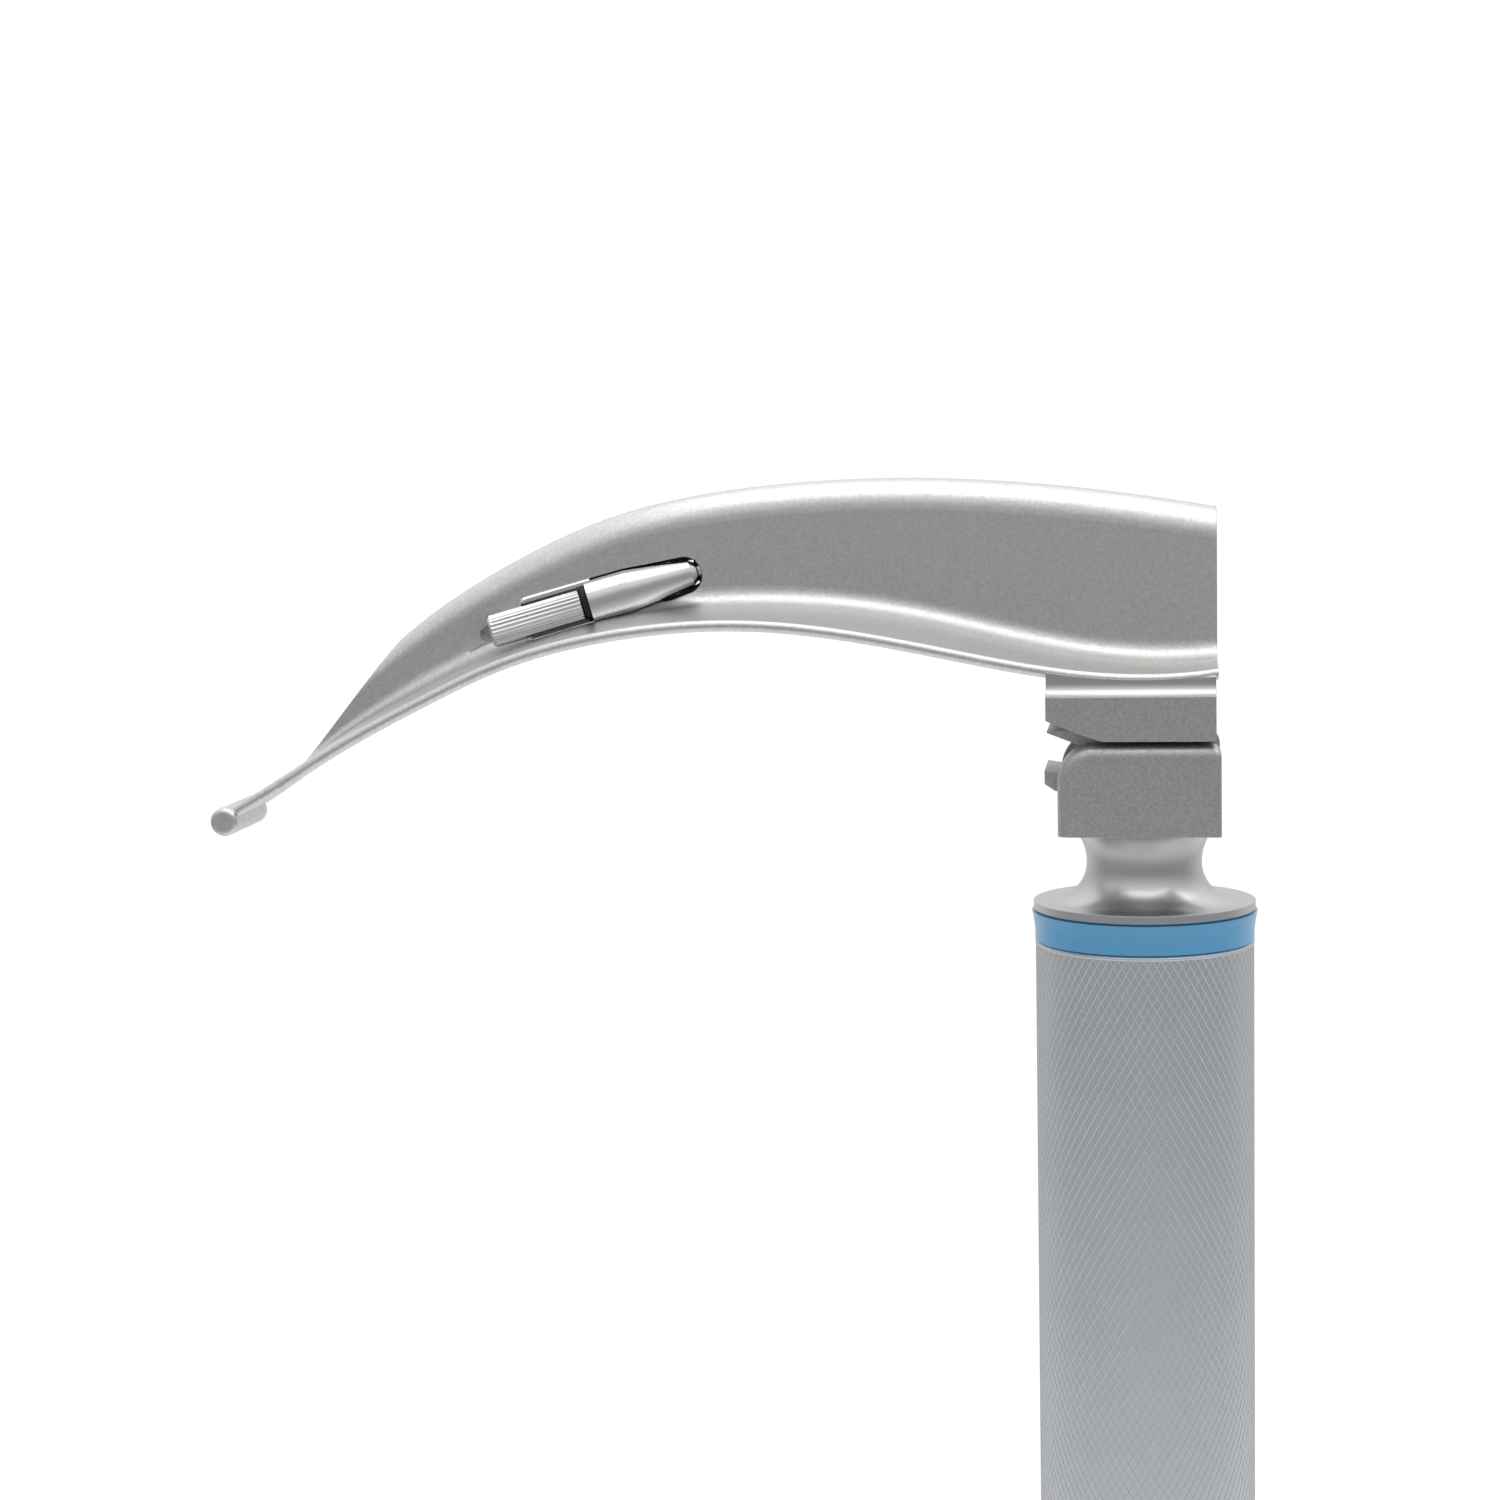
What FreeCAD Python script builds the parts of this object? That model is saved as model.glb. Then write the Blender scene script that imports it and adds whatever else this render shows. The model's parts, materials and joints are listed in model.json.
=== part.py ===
import FreeCAD, Part
import math
import os

from FreeCAD import Placement, Rotation, Vector

# Laryngoscope: a size 3 Macintosh blade hooked on a handle that holds two C cells. Millimetres.
# +Z runs up the handle, whose axis is the Z axis, and the base cap stands on Z = 0.
# The blade points along -X. Its open side, with the lamp, faces -Y.

# ---- Cells and battery tube
cell_r = 13.05               # over the wrap
cell_wrap = 0.15
cell_length = 50.0           # from the base disc to the top of the raised terminal
cell_count = 2
terminal_r = 3.25            # raised terminal
terminal_h = 1.6
cell_base_r = 9.0
cell_base_h = 0.6
cell_clearance = 0.25        # cell to tube, all round
tube_wall = 1.0
tube_chamfer = 0.4

# ---- Base cap
cap_rim_r = 14.2
cap_rim_h = 8.0
cap_floor = 3.0
cap_spigot_h = 6.2           # enters the tube
cap_spigot_wall = 2.1
cap_thread_depth = 0.45      # the tube's lower end is bored out by this much for the thread
thread_clearance = 0.1
cap_edge = 0.9
oring_r = 0.6                # half the cap ring's thickness
oring_gap = 0.05
cap_disc_h = 0.6
cap_disc_r = 10.0
cell_spring_room = 0.8       # cell stack to the cap's spigot
cell_spring_wire = 0.5       # wire radius
cell_spring_base_r = 9.0
cell_spring_turns = 4

# ---- Head of the handle: spigot, flange, waisted neck and forked block
spigot_h = 8.0               # enters the tube
nose_room = 3.0              # top cell to the spigot
fit_gap = 0.05               # pieces pushed or screwed together
ring_h = 3.8                 # colour ring
ring_flare = 0.4             # its upper lip stands out this much
flange_r = 14.45
flange_h = 1.3
neck_r = 7.5                 # at the waist
neck_low_arc = 5.0
neck_high_arc = 6.9
neck_h = 9.6                 # flange to block
block_front = -10.9
block_rear = 9.95
block_half = 10.8
block_h = 11.8
block_corner = 4.75          # round over the front of the cheeks
block_front_round = 1.6      # upright edges
block_rear_round = 0.6
block_chamfer = 0.3
floor_h = 3.8                # slot's floor above the block's underside
hinge_x = -6.9
hinge_h = 8.8                # pin's axis above the block's underside
pin_r = 1.6
pin_near_wall = 1.8          # metal left between the pin and the near cheek's face
pin_clearance = 0.05

# ---- Heel of the blade: wide part over the cheeks, tongue between them
heel_gap = 0.5               # wide part to cheeks
heel_h = 5.7                 # wide part
heel_front = -12.3
heel_rear = 9.3
heel_round = 1.7             # hollow round from the wide part up to the spatula
tongue_half = 6.35
tongue_clearance = 0.1
tongue_drop = 7.0            # wide part's underside to the tongue's underside
hook_lip = 0.35              # the lip reaches this much further forward than the wide part
hook_mouth = 0.7             # hook's mouth above the wide part's underside
heel_nose = 2.7              # the wide part's front edge starts this high
heel_slant = 1.0             # and its underside rises this much towards the front
heel_seat = 1.9              # flat underside starts this far behind the hinge
sweep_clearance = 0.5        # turning tongue to the pocket under it
ball_r = 1.5
ball_out = 0.45              # how far a detent ball stands out of the tongue
ball_reach = 12.9            # hinge to detent balls
ball_clearance = 0.2
detent_wire = 0.2            # wire radius
detent_turns = 9

# ---- Centre contact, sprung in the head and fixed in the heel
contact_x = 1.5
plunger_r = 1.55
plunger_out = 0.85           # above the slot's floor
plunger_travel = 1.2
plunger_collar_r = 1.95
plunger_collar_h = 2.0
bush_r = 2.6
bush_shoulder = 6.4          # narrow bore at the top of the bush
bush_flange_r = 5.8
bush_flange_h = 2.0
nut_h = 2.7
nut_hole_clearance = 1.4     # round the lower contact's shank
spring_seat_h = 5.0          # spring's seat above the bush's lower end
contact_head = 0.9           # lower contact's head past its shank
contact_nose_gap = 0.4       # its nose inside the terminal's edge
contact_touch = 0.05         # plunger to stud
plunger_wire = 0.2           # wire radius
plunger_spring_turns = 8
stud_r = 1.0
stud_head_r = 1.6
stud_bush_r = 2.1
cable_h = 4.0                # wire's hole above the wide part's underside

# ---- Blade: a sheet bent to a reverse Z, with a bead across its tip
blade_length = 131.6         # rear edge to the bead's axis
blade_rear = 9.6
sheet = 1.5
web_y = 4.0                  # near face of the upright web
spatula_rear_half = 9.0      # near edge's distance from the hinge plane, at the rear
spatula_tip_half = 7.4       # and at the tip
flange_width = 7.5
bend_r = 4.0                 # web to flange, outside
foot_r = 2.5                 # web to spatula, inside
far_corner_r = 1.0
bead_r = 1.9
bead_near = -8.2
bead_far = 6.4
bead_round = 0.7
bead_drop = 1.2              # spatula's top above the bead's axis, square to the sheet
# Side view, as shares of the blade's length: distance from the rear edge, height over the heel.
foot_line = [(0.0, 0.074), (0.164, 0.0855), (0.324, 0.1216), (0.468, 0.1322), (0.605, 0.122),
             (0.719, 0.0916), (0.81, 0.049), (0.871, 0.016), (0.943, -0.033), (1.0, -0.0699)]
crest_line = [(0.0, 0.2204), (0.164, 0.2447), (0.324, 0.2542), (0.468, 0.2473), (0.605, 0.2219),
              (0.719, 0.1736), (0.81, 0.1174), (0.871, 0.0658), (0.943, 0.0), (1.0, -0.03)]
# Cross fall of the spatula towards its near edge, along the same distances.
tilt_line = [(0.0, 0.05), (0.164, 0.15), (0.324, 0.21), (0.468, 0.14), (0.605, 0.14),
             (0.719, 0.14), (0.81, 0.14), (0.871, 0.12), (0.943, 0.05), (1.0, 0.0)]
web_end = 0.9384             # where the web's front edge meets the spatula
web_end_slope = 51.0         # degrees

# ---- Lamp, along its own axis: 0 is the socket's mouth, the lens is on the negative side
lamp_along = 0.632           # mouth's place along the blade
lamp_lift = 2.2              # mouth's centre over the web's foot
lamp_y = 2.4
lamp_pitch = 15.2            # degrees, rising to the rear
lamp_yaw = 11.0              # degrees, the rear goes through the web
sleeve_r = 2.175
sleeve_length = 12.9
sleeve_chamfer = 0.3
seal_h = 0.8
seal_r = 2.35
lens_r = 1.5
glass_seat = 3.0             # sleeve's rear to the glass
glass_wall = 0.25
lead_r = 0.1                 # filament's lead wires
lead_half = 0.72             # their distance from the lamp's axis
filament_back = 4.0          # filament behind the sleeve's front
filament_r = 0.18
filament_wire = 0.04         # wire radius
filament_length = 1.2
filament_turns = 7
stem_r = 1.0                 # narrow part of the shank, inside the sleeve
stem_bore_r = 0.6
shank_r = 1.5
shank_length = 4.4
bead_insulator_h = 0.6
tip_r = 0.6
tip_h = 0.4
socket_r = 2.9
socket_straight = 5.5
socket_length = 15.0
socket_rear_r = 1.9
socket_nose = 0.8            # length of its rear chamfer
socket_nose_drop = 0.6       # and how far it narrows
socket_bore_room = 5.0       # bore behind the lamp's tip
socket_bore_clearance = 0.1
cradle_length = 9.0
cradle_wall = 0.45
cradle_corner = 1.2
window_gap = 0.25
window_rear_r = 2.5
scoop_r = 14.0
scoop_depth = 0.5
conduit_r = 1.0
conduit_wall = 0.3
conduit_off = 0.2            # conduit to the web's far face
conduit_bend = 5.0           # its arcs start this far from each corner
wire_r = 0.4
plug_r = 1.2
plug_h = 2.0

# ---- Heights, worked out from the above
tube_r = cell_r + cell_clearance + tube_wall
tube_bore = tube_r - tube_wall
tube_z0 = cap_rim_h
stack_z0 = tube_z0 + cap_spigot_h + cell_spring_room
stack_z1 = stack_z0 + cell_count * cell_length
spigot_z0 = stack_z1 + nose_room
tube_z1 = spigot_z0 + spigot_h
flange_z0 = tube_z1 + ring_h
flange_z1 = flange_z0 + flange_h
block_z0 = flange_z1 + neck_h
block_z1 = block_z0 + block_h
floor_z = block_z0 + floor_h
hinge_z = block_z0 + hinge_h
heel_z0 = block_z1 + heel_gap
heel_z1 = heel_z0 + heel_h
tongue_z0 = heel_z0 - tongue_drop
slot_half = tongue_half + tongue_clearance
seat_r = pin_r + pin_clearance
plunger_z1 = floor_z + plunger_out
ball_x = hinge_x + ball_reach
bush_flange_z0 = spigot_z0 + nut_h
spring_z0 = bush_flange_z0 + spring_seat_h
collar_z1 = floor_z - bush_shoulder - plunger_travel
cable_z = heel_z0 + cable_h
stud_z1 = cable_z - wire_r - 2 * fit_gap
conduit_y = web_y + sheet + conduit_off + conduit_r
tip_x = shank_length + bead_insulator_h + tip_h
HINGE = Vector(hinge_x, 0, hinge_z)
X, Y, Z = Vector(1, 0, 0), Vector(0, 1, 0), Vector(0, 0, 1)


# ---- Helpers

def save(shape, name):
    """Write one piece; a piece of several solids stays a compound."""
    os.makedirs("parts", exist_ok=True)
    solids = shape.Solids
    for solid in solids:
        if not solid.isValid() or solid.Volume <= 0:
            raise ValueError("bad solid in " + name)
    piece = solids[0] if len(solids) == 1 else Part.makeCompound(solids)
    piece.exportStep("parts/" + name + ".step")
    print(name, len(solids), round(piece.Volume, 1))


def rod(r, z0, z1, x=0.0, y=0.0):
    return Part.makeCylinder(r, z1 - z0, Vector(x, y, z0), Z)


def cross_rod(r, y0, y1, x, z):
    return Part.makeCylinder(r, y1 - y0, Vector(x, y0, z), Y)


def pipe(r_in, r_out, z0, z1, x=0.0, y=0.0):
    return rod(r_out, z0, z1, x, y).cut(rod(r_in, z0 - 1, z1 + 1, x, y))


def box(x0, x1, y0, y1, z0, z1):
    return Part.makeBox(x1 - x0, y1 - y0, z1 - z0, Vector(x0, y0, z0))


def wire_of(parts):
    """Closed wire from points and arcs; an arc is a tuple of start, middle and end."""
    edges = []
    ends = []
    for item in parts:
        if isinstance(item, tuple):
            edges.append(Part.Arc(*item).toShape())
            ends.append((item[0], item[2]))
        else:
            ends.append((item, item))
    count = len(ends)
    for index in range(count):
        start = ends[index][1]
        end = ends[(index + 1) % count][0]
        if start.distanceToPoint(end) > 1e-6:
            edges.append(Part.makeLine(start, end))
    return Part.Wire(Part.__sortEdges__(edges))


def turned(parts, x=0.0, y=0.0):
    """Solid of revolution about an upright axis; parts hold (radius, height) as X and Z."""
    face = Part.Face(wire_of(parts))
    solid = face.revolve(Vector(), Z, 360)
    solid.translate(Vector(x, y, 0))
    return solid


def slab(parts, y0, y1):
    """Outline in the X-Z plane, carried from y0 to y1."""
    face = Part.Face(wire_of(parts))
    solid = face.extrude(Vector(0, y1 - y0, 0))
    solid.translate(Vector(0, y0, 0))
    return solid


def at(x, z):
    return Vector(x, 0, z)


def coil(r, wire, length, turns, base, axis=Z, top_r=None):
    """Spring wound from base along axis; its wire stays inside the stated length."""
    rise = length - 2 * wire
    taper = 0.0
    if top_r is not None:
        taper = math.degrees(math.atan2(top_r - r, rise))
    path = Part.makeHelix(rise / turns, rise, r, taper)
    section = Part.Wire(Part.makeCircle(wire, Vector(r, 0, 0), Y))
    solid = Part.Wire(path).makePipeShell([section], True, True)
    solid.translate(Vector(0, 0, wire))
    solid.Placement = Placement(base, Rotation(Z, axis)).multiply(solid.Placement)
    return solid


def rounded(solid, radius, pick):
    """Fillet the edges that pick() accepts."""
    return solid.makeFillet(radius, [edge for edge in solid.Edges if pick(edge)])


def upright(edge, x, y):
    bounds = edge.BoundBox
    return bounds.XLength < 0.01 and bounds.YLength < 0.01 and abs(bounds.XMin - x) < 0.01 \
        and abs(abs(bounds.YMin) - y) < 0.01


# ---- Battery tube, cells and base cap

def battery_tube():
    thread_r = tube_bore + cap_thread_depth
    thread_z1 = tube_z0 + cap_spigot_h + cell_spring_room
    return turned([at(thread_r, tube_z0), at(tube_r, tube_z0), at(tube_r, tube_z1 - tube_chamfer),
                   at(tube_r - tube_chamfer, tube_z1), at(tube_bore, tube_z1),
                   at(tube_bore, thread_z1), at(thread_r, thread_z1)])


def cell_pieces(z0):
    """Base disc, can, wrap and raised terminal of the cell that stands at z0."""
    can_r = cell_r - cell_wrap
    can_z0 = z0 + cell_base_h
    can_z1 = z0 + cell_length - terminal_h
    return {"base": rod(cell_base_r, z0, can_z0),
            "can": rod(can_r, can_z0, can_z1),
            "wrap": pipe(can_r, cell_r, can_z0, can_z1),
            "terminal": rod(terminal_r, can_z1, z0 + cell_length)}


def base_cap():
    spigot_r = tube_bore + cap_thread_depth - thread_clearance
    cup_r = spigot_r - cap_spigot_wall
    groove_r = spigot_r - 2 * oring_r
    groove_z1 = cap_rim_h + 2 * (oring_r + oring_gap)
    top = cap_rim_h + cap_spigot_h
    return turned([at(0, 0), at(cap_rim_r - cap_edge, 0),
                   (at(cap_rim_r - cap_edge, 0), at(cap_rim_r - 0.3 * cap_edge, 0.3 * cap_edge),
                    at(cap_rim_r, cap_edge)),
                   at(cap_rim_r, cap_rim_h), at(groove_r, cap_rim_h), at(groove_r, groove_z1),
                   at(spigot_r, groove_z1), at(spigot_r, top), at(cup_r, top),
                   at(cup_r, cap_floor), at(0, cap_floor)])


def cap_ring():
    """Round ring in the groove under the cap's thread."""
    spigot_r = tube_bore + cap_thread_depth - thread_clearance
    middle_r = spigot_r + oring_gap - oring_r
    return Part.makeTorus(middle_r, oring_r, Vector(0, 0, cap_rim_h + oring_r + oring_gap))


def cell_spring():
    z0 = cap_floor + cap_disc_h
    return coil(cell_spring_base_r, cell_spring_wire, stack_z0 - z0, cell_spring_turns,
                Vector(0, 0, z0), Z, terminal_r + cell_spring_wire)


# ---- Head of the handle

def colour_ring():
    return turned([at(tube_bore, tube_z1), at(tube_r, tube_z1),
                   (at(tube_r, tube_z1), at(tube_r + 0.35 * ring_flare, tube_z1 + 0.65 * ring_h),
                    at(tube_r + ring_flare, flange_z0)),
                   at(tube_bore, flange_z0)])


def head_spindle():
    """Spigot, flange and waisted neck, up into the block."""
    waist_z = flange_z1 + neck_low_arc
    low_r = neck_r + neck_low_arc
    high_centre = neck_r + neck_high_arc
    rise = block_z0 - waist_z
    high_r = high_centre - math.sqrt(neck_high_arc ** 2 - rise ** 2)
    half_rise = 0.5 * rise
    mid_r = high_centre - math.sqrt(neck_high_arc ** 2 - half_rise ** 2)
    corner = neck_low_arc * (1 - math.sqrt(0.5))
    spigot_r = tube_bore - fit_gap
    return turned([at(0, spigot_z0), at(spigot_r, spigot_z0), at(spigot_r, flange_z0),
                   at(flange_r - block_chamfer, flange_z0),
                   at(flange_r, flange_z0 + block_chamfer), at(flange_r, flange_z1),
                   at(low_r, flange_z1),
                   (at(low_r, flange_z1), at(neck_r + corner, flange_z1 + corner),
                    at(neck_r, waist_z)),
                   (at(neck_r, waist_z), at(mid_r, waist_z + half_rise), at(high_r, block_z0)),
                   at(high_r, block_z0 + 1), at(0, block_z0 + 1)])


def head_block():
    """Block with a round over its front, before the slot is cut."""
    diagonal = block_corner * (1 - math.sqrt(0.5))
    solid = slab([at(block_front, block_z0), at(block_rear, block_z0), at(block_rear, block_z1),
                  (at(block_front + block_corner, block_z1),
                   at(block_front + diagonal, block_z1 - diagonal),
                   at(block_front, block_z1 - block_corner))],
                 -block_half, block_half)
    solid = rounded(solid, block_rear_round, lambda edge: upright(edge, block_rear, block_half))
    return rounded(solid, block_front_round, lambda edge: upright(edge, block_front, block_half))


def slot():
    """Space between the cheeks, with a round pocket that the turning tongue sweeps."""
    reach = math.hypot(heel_front - hinge_x, heel_z0 + hook_mouth - hinge_z) + sweep_clearance
    through = box(hinge_x, block_rear + 1, -slot_half, slot_half, floor_z, block_z1 + 1)
    pocket = cross_rod(reach, -slot_half, slot_half, hinge_x, hinge_z)
    front = box(block_front - 1, hinge_x, -slot_half, slot_half, hinge_z - reach, block_z1 + 1)
    return through.fuse(pocket).fuse(front)


def detent_tracks():
    """Dimple and lead-in groove for each ball, in the cheeks' inner faces."""
    depth = ball_out - tongue_clearance + ball_clearance
    width = math.sqrt(ball_r ** 2 - (ball_r - ball_out) ** 2) + ball_clearance
    track = cross_rod(ball_reach + width, -slot_half - depth, slot_half + depth, hinge_x, hinge_z)
    inner = cross_rod(ball_reach - width, -block_half, block_half, hinge_x, hinge_z)
    keep = box(hinge_x, block_rear - 1, -block_half, block_half, hinge_z, block_z1 + 1)
    result = track.cut(inner).common(keep)
    centre_y = tongue_half + ball_out - ball_r
    for side in (-1, 1):
        place = Vector(ball_x, side * centre_y, hinge_z)
        result = result.fuse(Part.makeSphere(ball_r + 1.5 * ball_clearance, place))
    return result


def handle_head():
    solid = head_spindle().fuse(head_block()).cut(slot()).cut(detent_tracks())
    solid = solid.cut(rod(bush_r + fit_gap, spigot_z0 - 1, floor_z + 1, contact_x))
    recess_z1 = spigot_z0 + nut_h + bush_flange_h
    solid = solid.cut(rod(bush_flange_r + fit_gap, spigot_z0 - 1, recess_z1, contact_x))
    solid = solid.cut(cross_rod(pin_r, pin_near_wall - block_half, block_half + 1, hinge_x, hinge_z))
    return solid.removeSplitter()


def hinge_pin():
    return cross_rod(pin_r, pin_near_wall - block_half, block_half - fit_gap, hinge_x, hinge_z)


# ---- Centre contact in the head

def contact_bush():
    """Insulating bush: wide bore for the spring, narrow bore that guides the plunger."""
    body = rod(bush_r, bush_flange_z0, floor_z, contact_x)
    body = body.fuse(rod(bush_flange_r, bush_flange_z0, bush_flange_z0 + bush_flange_h, contact_x))
    body = body.cut(rod(plunger_collar_r + pin_clearance, bush_flange_z0 - 1,
                        floor_z - bush_shoulder, contact_x))
    return body.cut(rod(plunger_r + pin_clearance, bush_flange_z0, floor_z + 1, contact_x))


def contact_plunger():
    base = collar_z1 - plunger_collar_h
    dome = 0.35 * plunger_r
    half = dome * math.sqrt(0.5)
    shoulder = plunger_z1 - dome
    return turned([at(0, base), at(plunger_collar_r, base), at(plunger_collar_r, collar_z1),
                   at(plunger_r, collar_z1),
                   (at(plunger_r, shoulder), at(plunger_r - dome + half, shoulder + half),
                    at(plunger_r - dome, plunger_z1)),
                   at(0, plunger_z1)], contact_x)


def plunger_spring():
    length = collar_z1 - plunger_collar_h - spring_z0
    radius = plunger_collar_r - plunger_wire - pin_clearance
    return coil(radius, plunger_wire, length, plunger_spring_turns,
                Vector(contact_x, 0, spring_z0))


def lower_contact():
    """Screwed into the bush; its nose touches the upper cell's terminal."""
    bore_r = plunger_collar_r + pin_clearance
    head_r = bore_r + contact_head
    nose_r = terminal_r - contact_x - contact_nose_gap
    return turned([at(0, stack_z1), at(nose_r, stack_z1), at(nose_r, spigot_z0 - 1),
                   at(head_r, spigot_z0 - 1), at(head_r, bush_flange_z0),
                   at(bore_r, bush_flange_z0), at(bore_r, spring_z0), at(0, spring_z0)],
                  contact_x)


def bush_nut():
    hole = plunger_collar_r + pin_clearance + nut_hole_clearance
    return pipe(hole, bush_flange_r, spigot_z0, bush_flange_z0, contact_x)


# ---- Blade sheet

def spline(points):
    """Smooth curve through (distance, value) pairs, both scaled to the blade's length."""
    curve = Part.BSplineCurve()
    curve.interpolate([Vector(a * blade_length, b * blade_length, 0) for a, b in points])
    return curve


FOOT, CREST, TILT = spline(foot_line), spline(crest_line), spline(tilt_line)


def read(curve, distance):
    """Value of a curve at a distance from the blade's rear edge."""
    low, high = curve.FirstParameter, curve.LastParameter
    for _ in range(40):
        middle = 0.5 * (low + high)
        if curve.value(middle).x < distance:
            low = middle
        else:
            high = middle
    return curve.value(0.5 * (low + high)).y


def foot_z(distance):
    return heel_z0 + read(FOOT, distance)


def crest_z(distance):
    return heel_z0 + read(CREST, distance)


def tilt(distance):
    return read(TILT, distance) / blade_length


def top_z(distance, y):
    """Height of the spatula's upper face."""
    return foot_z(distance) + tilt(distance) * (y - web_y)


def upright_sheet(distance):
    """Sheet thickness measured straight up where the spatula slopes."""
    step = 0.5
    low = max(distance - step, 0)
    high = min(distance + step, blade_length)
    slope = (foot_z(high) - foot_z(low)) / (high - low)
    return sheet * math.hypot(1, slope)


def blade_section(distance):
    """Closed reverse-Z outline across the blade."""
    x = blade_rear - distance
    share = distance / blade_length
    thick = upright_sheet(distance)
    height = crest_z(distance) - foot_z(distance)
    foot = min(foot_r, 0.25 * height)
    bend = max(sheet + 0.3, min(bend_r, 0.35 * height))
    width = max(flange_width * (1 - (share / 1.05) ** 3), bend + 0.2)
    fall = tilt(distance)
    near = -(spatula_rear_half + (spatula_tip_half - spatula_rear_half) * share)
    edge = 0.5 * sheet
    crest = crest_z(distance)
    far = web_y + sheet
    half = math.sqrt(0.5)

    def point(y, z):
        return Vector(x, y, z)

    def top(y):
        return top_z(distance, y)

    angle = math.atan(fall)
    arc_z = top(web_y - foot) + foot / math.cos(angle)
    start = point(web_y - foot + foot * math.sin(angle), arc_z - foot * math.cos(angle))
    turn = 0.5 * (math.radians(-90) + angle)
    middle = point(web_y - foot + foot * math.cos(turn), arc_z + foot * math.sin(turn))
    inner = bend - sheet
    return wire_of([
        (point(near + edge, top(near + edge) - thick), point(near, top(near) - 0.5 * thick),
         point(near + edge, top(near + edge))),
        (start, middle, point(web_y, arc_z)),
        (point(web_y, crest - bend), point(web_y + bend - half * bend, crest - bend + half * bend),
         point(web_y + bend, crest)),
        (point(web_y + width, crest), point(web_y + width + 0.4 * sheet, crest - 0.5 * sheet),
         point(web_y + width, crest - sheet)),
        (point(web_y + bend, crest - sheet),
         point(web_y + bend - half * inner, crest - bend + half * inner),
         point(far, crest - bend)),
        (point(far, top(far) - thick + far_corner_r),
         point(far - (1 - half) * far_corner_r, top(far) - thick + (1 - half) * far_corner_r),
         point(far - far_corner_r, top(far - far_corner_r) - thick))])


def air_over_spatula(first, last, lift, y_far):
    """Space above the spatula's upper face, from one distance to another."""
    wires = []
    count = 7
    for index in range(count):
        distance = first + (last - first) * index / (count - 1)
        x = blade_rear - distance
        low = [Vector(x, y, top_z(distance, y) + lift) for y in (-12, y_far)]
        high = [point + Vector(0, 0, 40) for point in reversed(low)]
        wires.append(wire_of(low + high))
    return Part.makeLoft(wires, True, False)


def over_web_end():
    """Everything in front of the web's slanting front edge."""
    distance = web_end * blade_length
    x, z = blade_rear - distance, foot_z(distance)
    slope = math.tan(math.radians(web_end_slope))
    reach = 16.0
    return slab([at(x - 30, z - 4 * slope), at(x - 4, z - 4 * slope),
                 at(x + reach, z + reach * slope), at(x - 30, z + reach * slope)], -12, 14)


def bead():
    x = blade_rear - blade_length
    rise = math.hypot(1, (foot_z(blade_length) - foot_z(blade_length - 1)))
    solid = cross_rod(bead_r, bead_near, bead_far, x, foot_z(blade_length) - bead_drop * rise)
    return solid.makeFillet(bead_round, [edge for edge in solid.Edges if edge.Closed])


def lamp_place():
    """From the lamp's own axis (along +X, mouth at 0) to its place on the blade."""
    distance = lamp_along * blade_length
    origin = Vector(blade_rear - distance, lamp_y, foot_z(distance) + lamp_lift)
    return Placement(origin, Rotation(lamp_yaw, -lamp_pitch, 0))


def on_lamp(solid):
    solid.Placement = lamp_place().multiply(solid.Placement)
    return solid


def lamp_turned(points):
    """Solid of revolution about the lamp's axis from (distance, radius) pairs."""
    profile = [Vector(a, b, 0) for a, b in points]
    return Part.Face(wire_of(profile)).revolve(Vector(), X, 360)


def window():
    """Long opening in the web, round-ended at the rear, for the socket."""
    half = socket_r + window_gap
    rear = socket_length - window_rear_r + 0.6
    front = -cradle_length - window_gap
    outline = [at(front, -half), at(socket_straight, -half),
               (at(rear, -window_rear_r), at(rear + window_rear_r, 0), at(rear, window_rear_r)),
               at(socket_straight, half), at(front, half)]
    solid = slab(outline, 0, 6)
    place = lamp_place()
    solid.rotate(Vector(), Y, -lamp_pitch)
    solid.translate(Vector(place.Base.x, web_y - 0.4, place.Base.z))
    return solid


def lamp_room():
    """Space that the socket and its cradle fill, with the braze's gap round it."""
    front = -cradle_length - window_gap
    wide = socket_r + fit_gap
    return on_lamp(lamp_turned([(front, 0), (front, wide), (socket_straight, wide),
                                (socket_length + window_gap, socket_rear_r + fit_gap),
                                (socket_length + window_gap, 0)]))


def scoop():
    """Shallow round hollow in the web, in front of the lens."""
    lens = lamp_place().multVec(Vector(-seal_h - sleeve_length - lens_r, 0, 0))
    ball = Part.makeSphere(scoop_r, Vector(lens.x, web_y - scoop_r + scoop_depth, lens.z))
    return ball.common(box(lens.x - 9, lens.x + 9, web_y - 0.1, web_y + 2, lens.z - 9, lens.z + 9))


def blade_shell():
    steps = 18
    wires = [blade_section(blade_length * index / steps) for index in range(steps + 1)]
    solid = Part.makeLoft(wires, True, False)
    first = web_end * blade_length - 14
    solid = solid.cut(over_web_end().common(air_over_spatula(first, blade_length, 0.03, 14)))
    solid = solid.fuse(bead())
    solid = solid.cut(lamp_room()).cut(window()).cut(along_conduit(conduit_r + fit_gap))
    return solid.cut(scoop()).removeSplitter()


# ---- Heel

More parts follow.
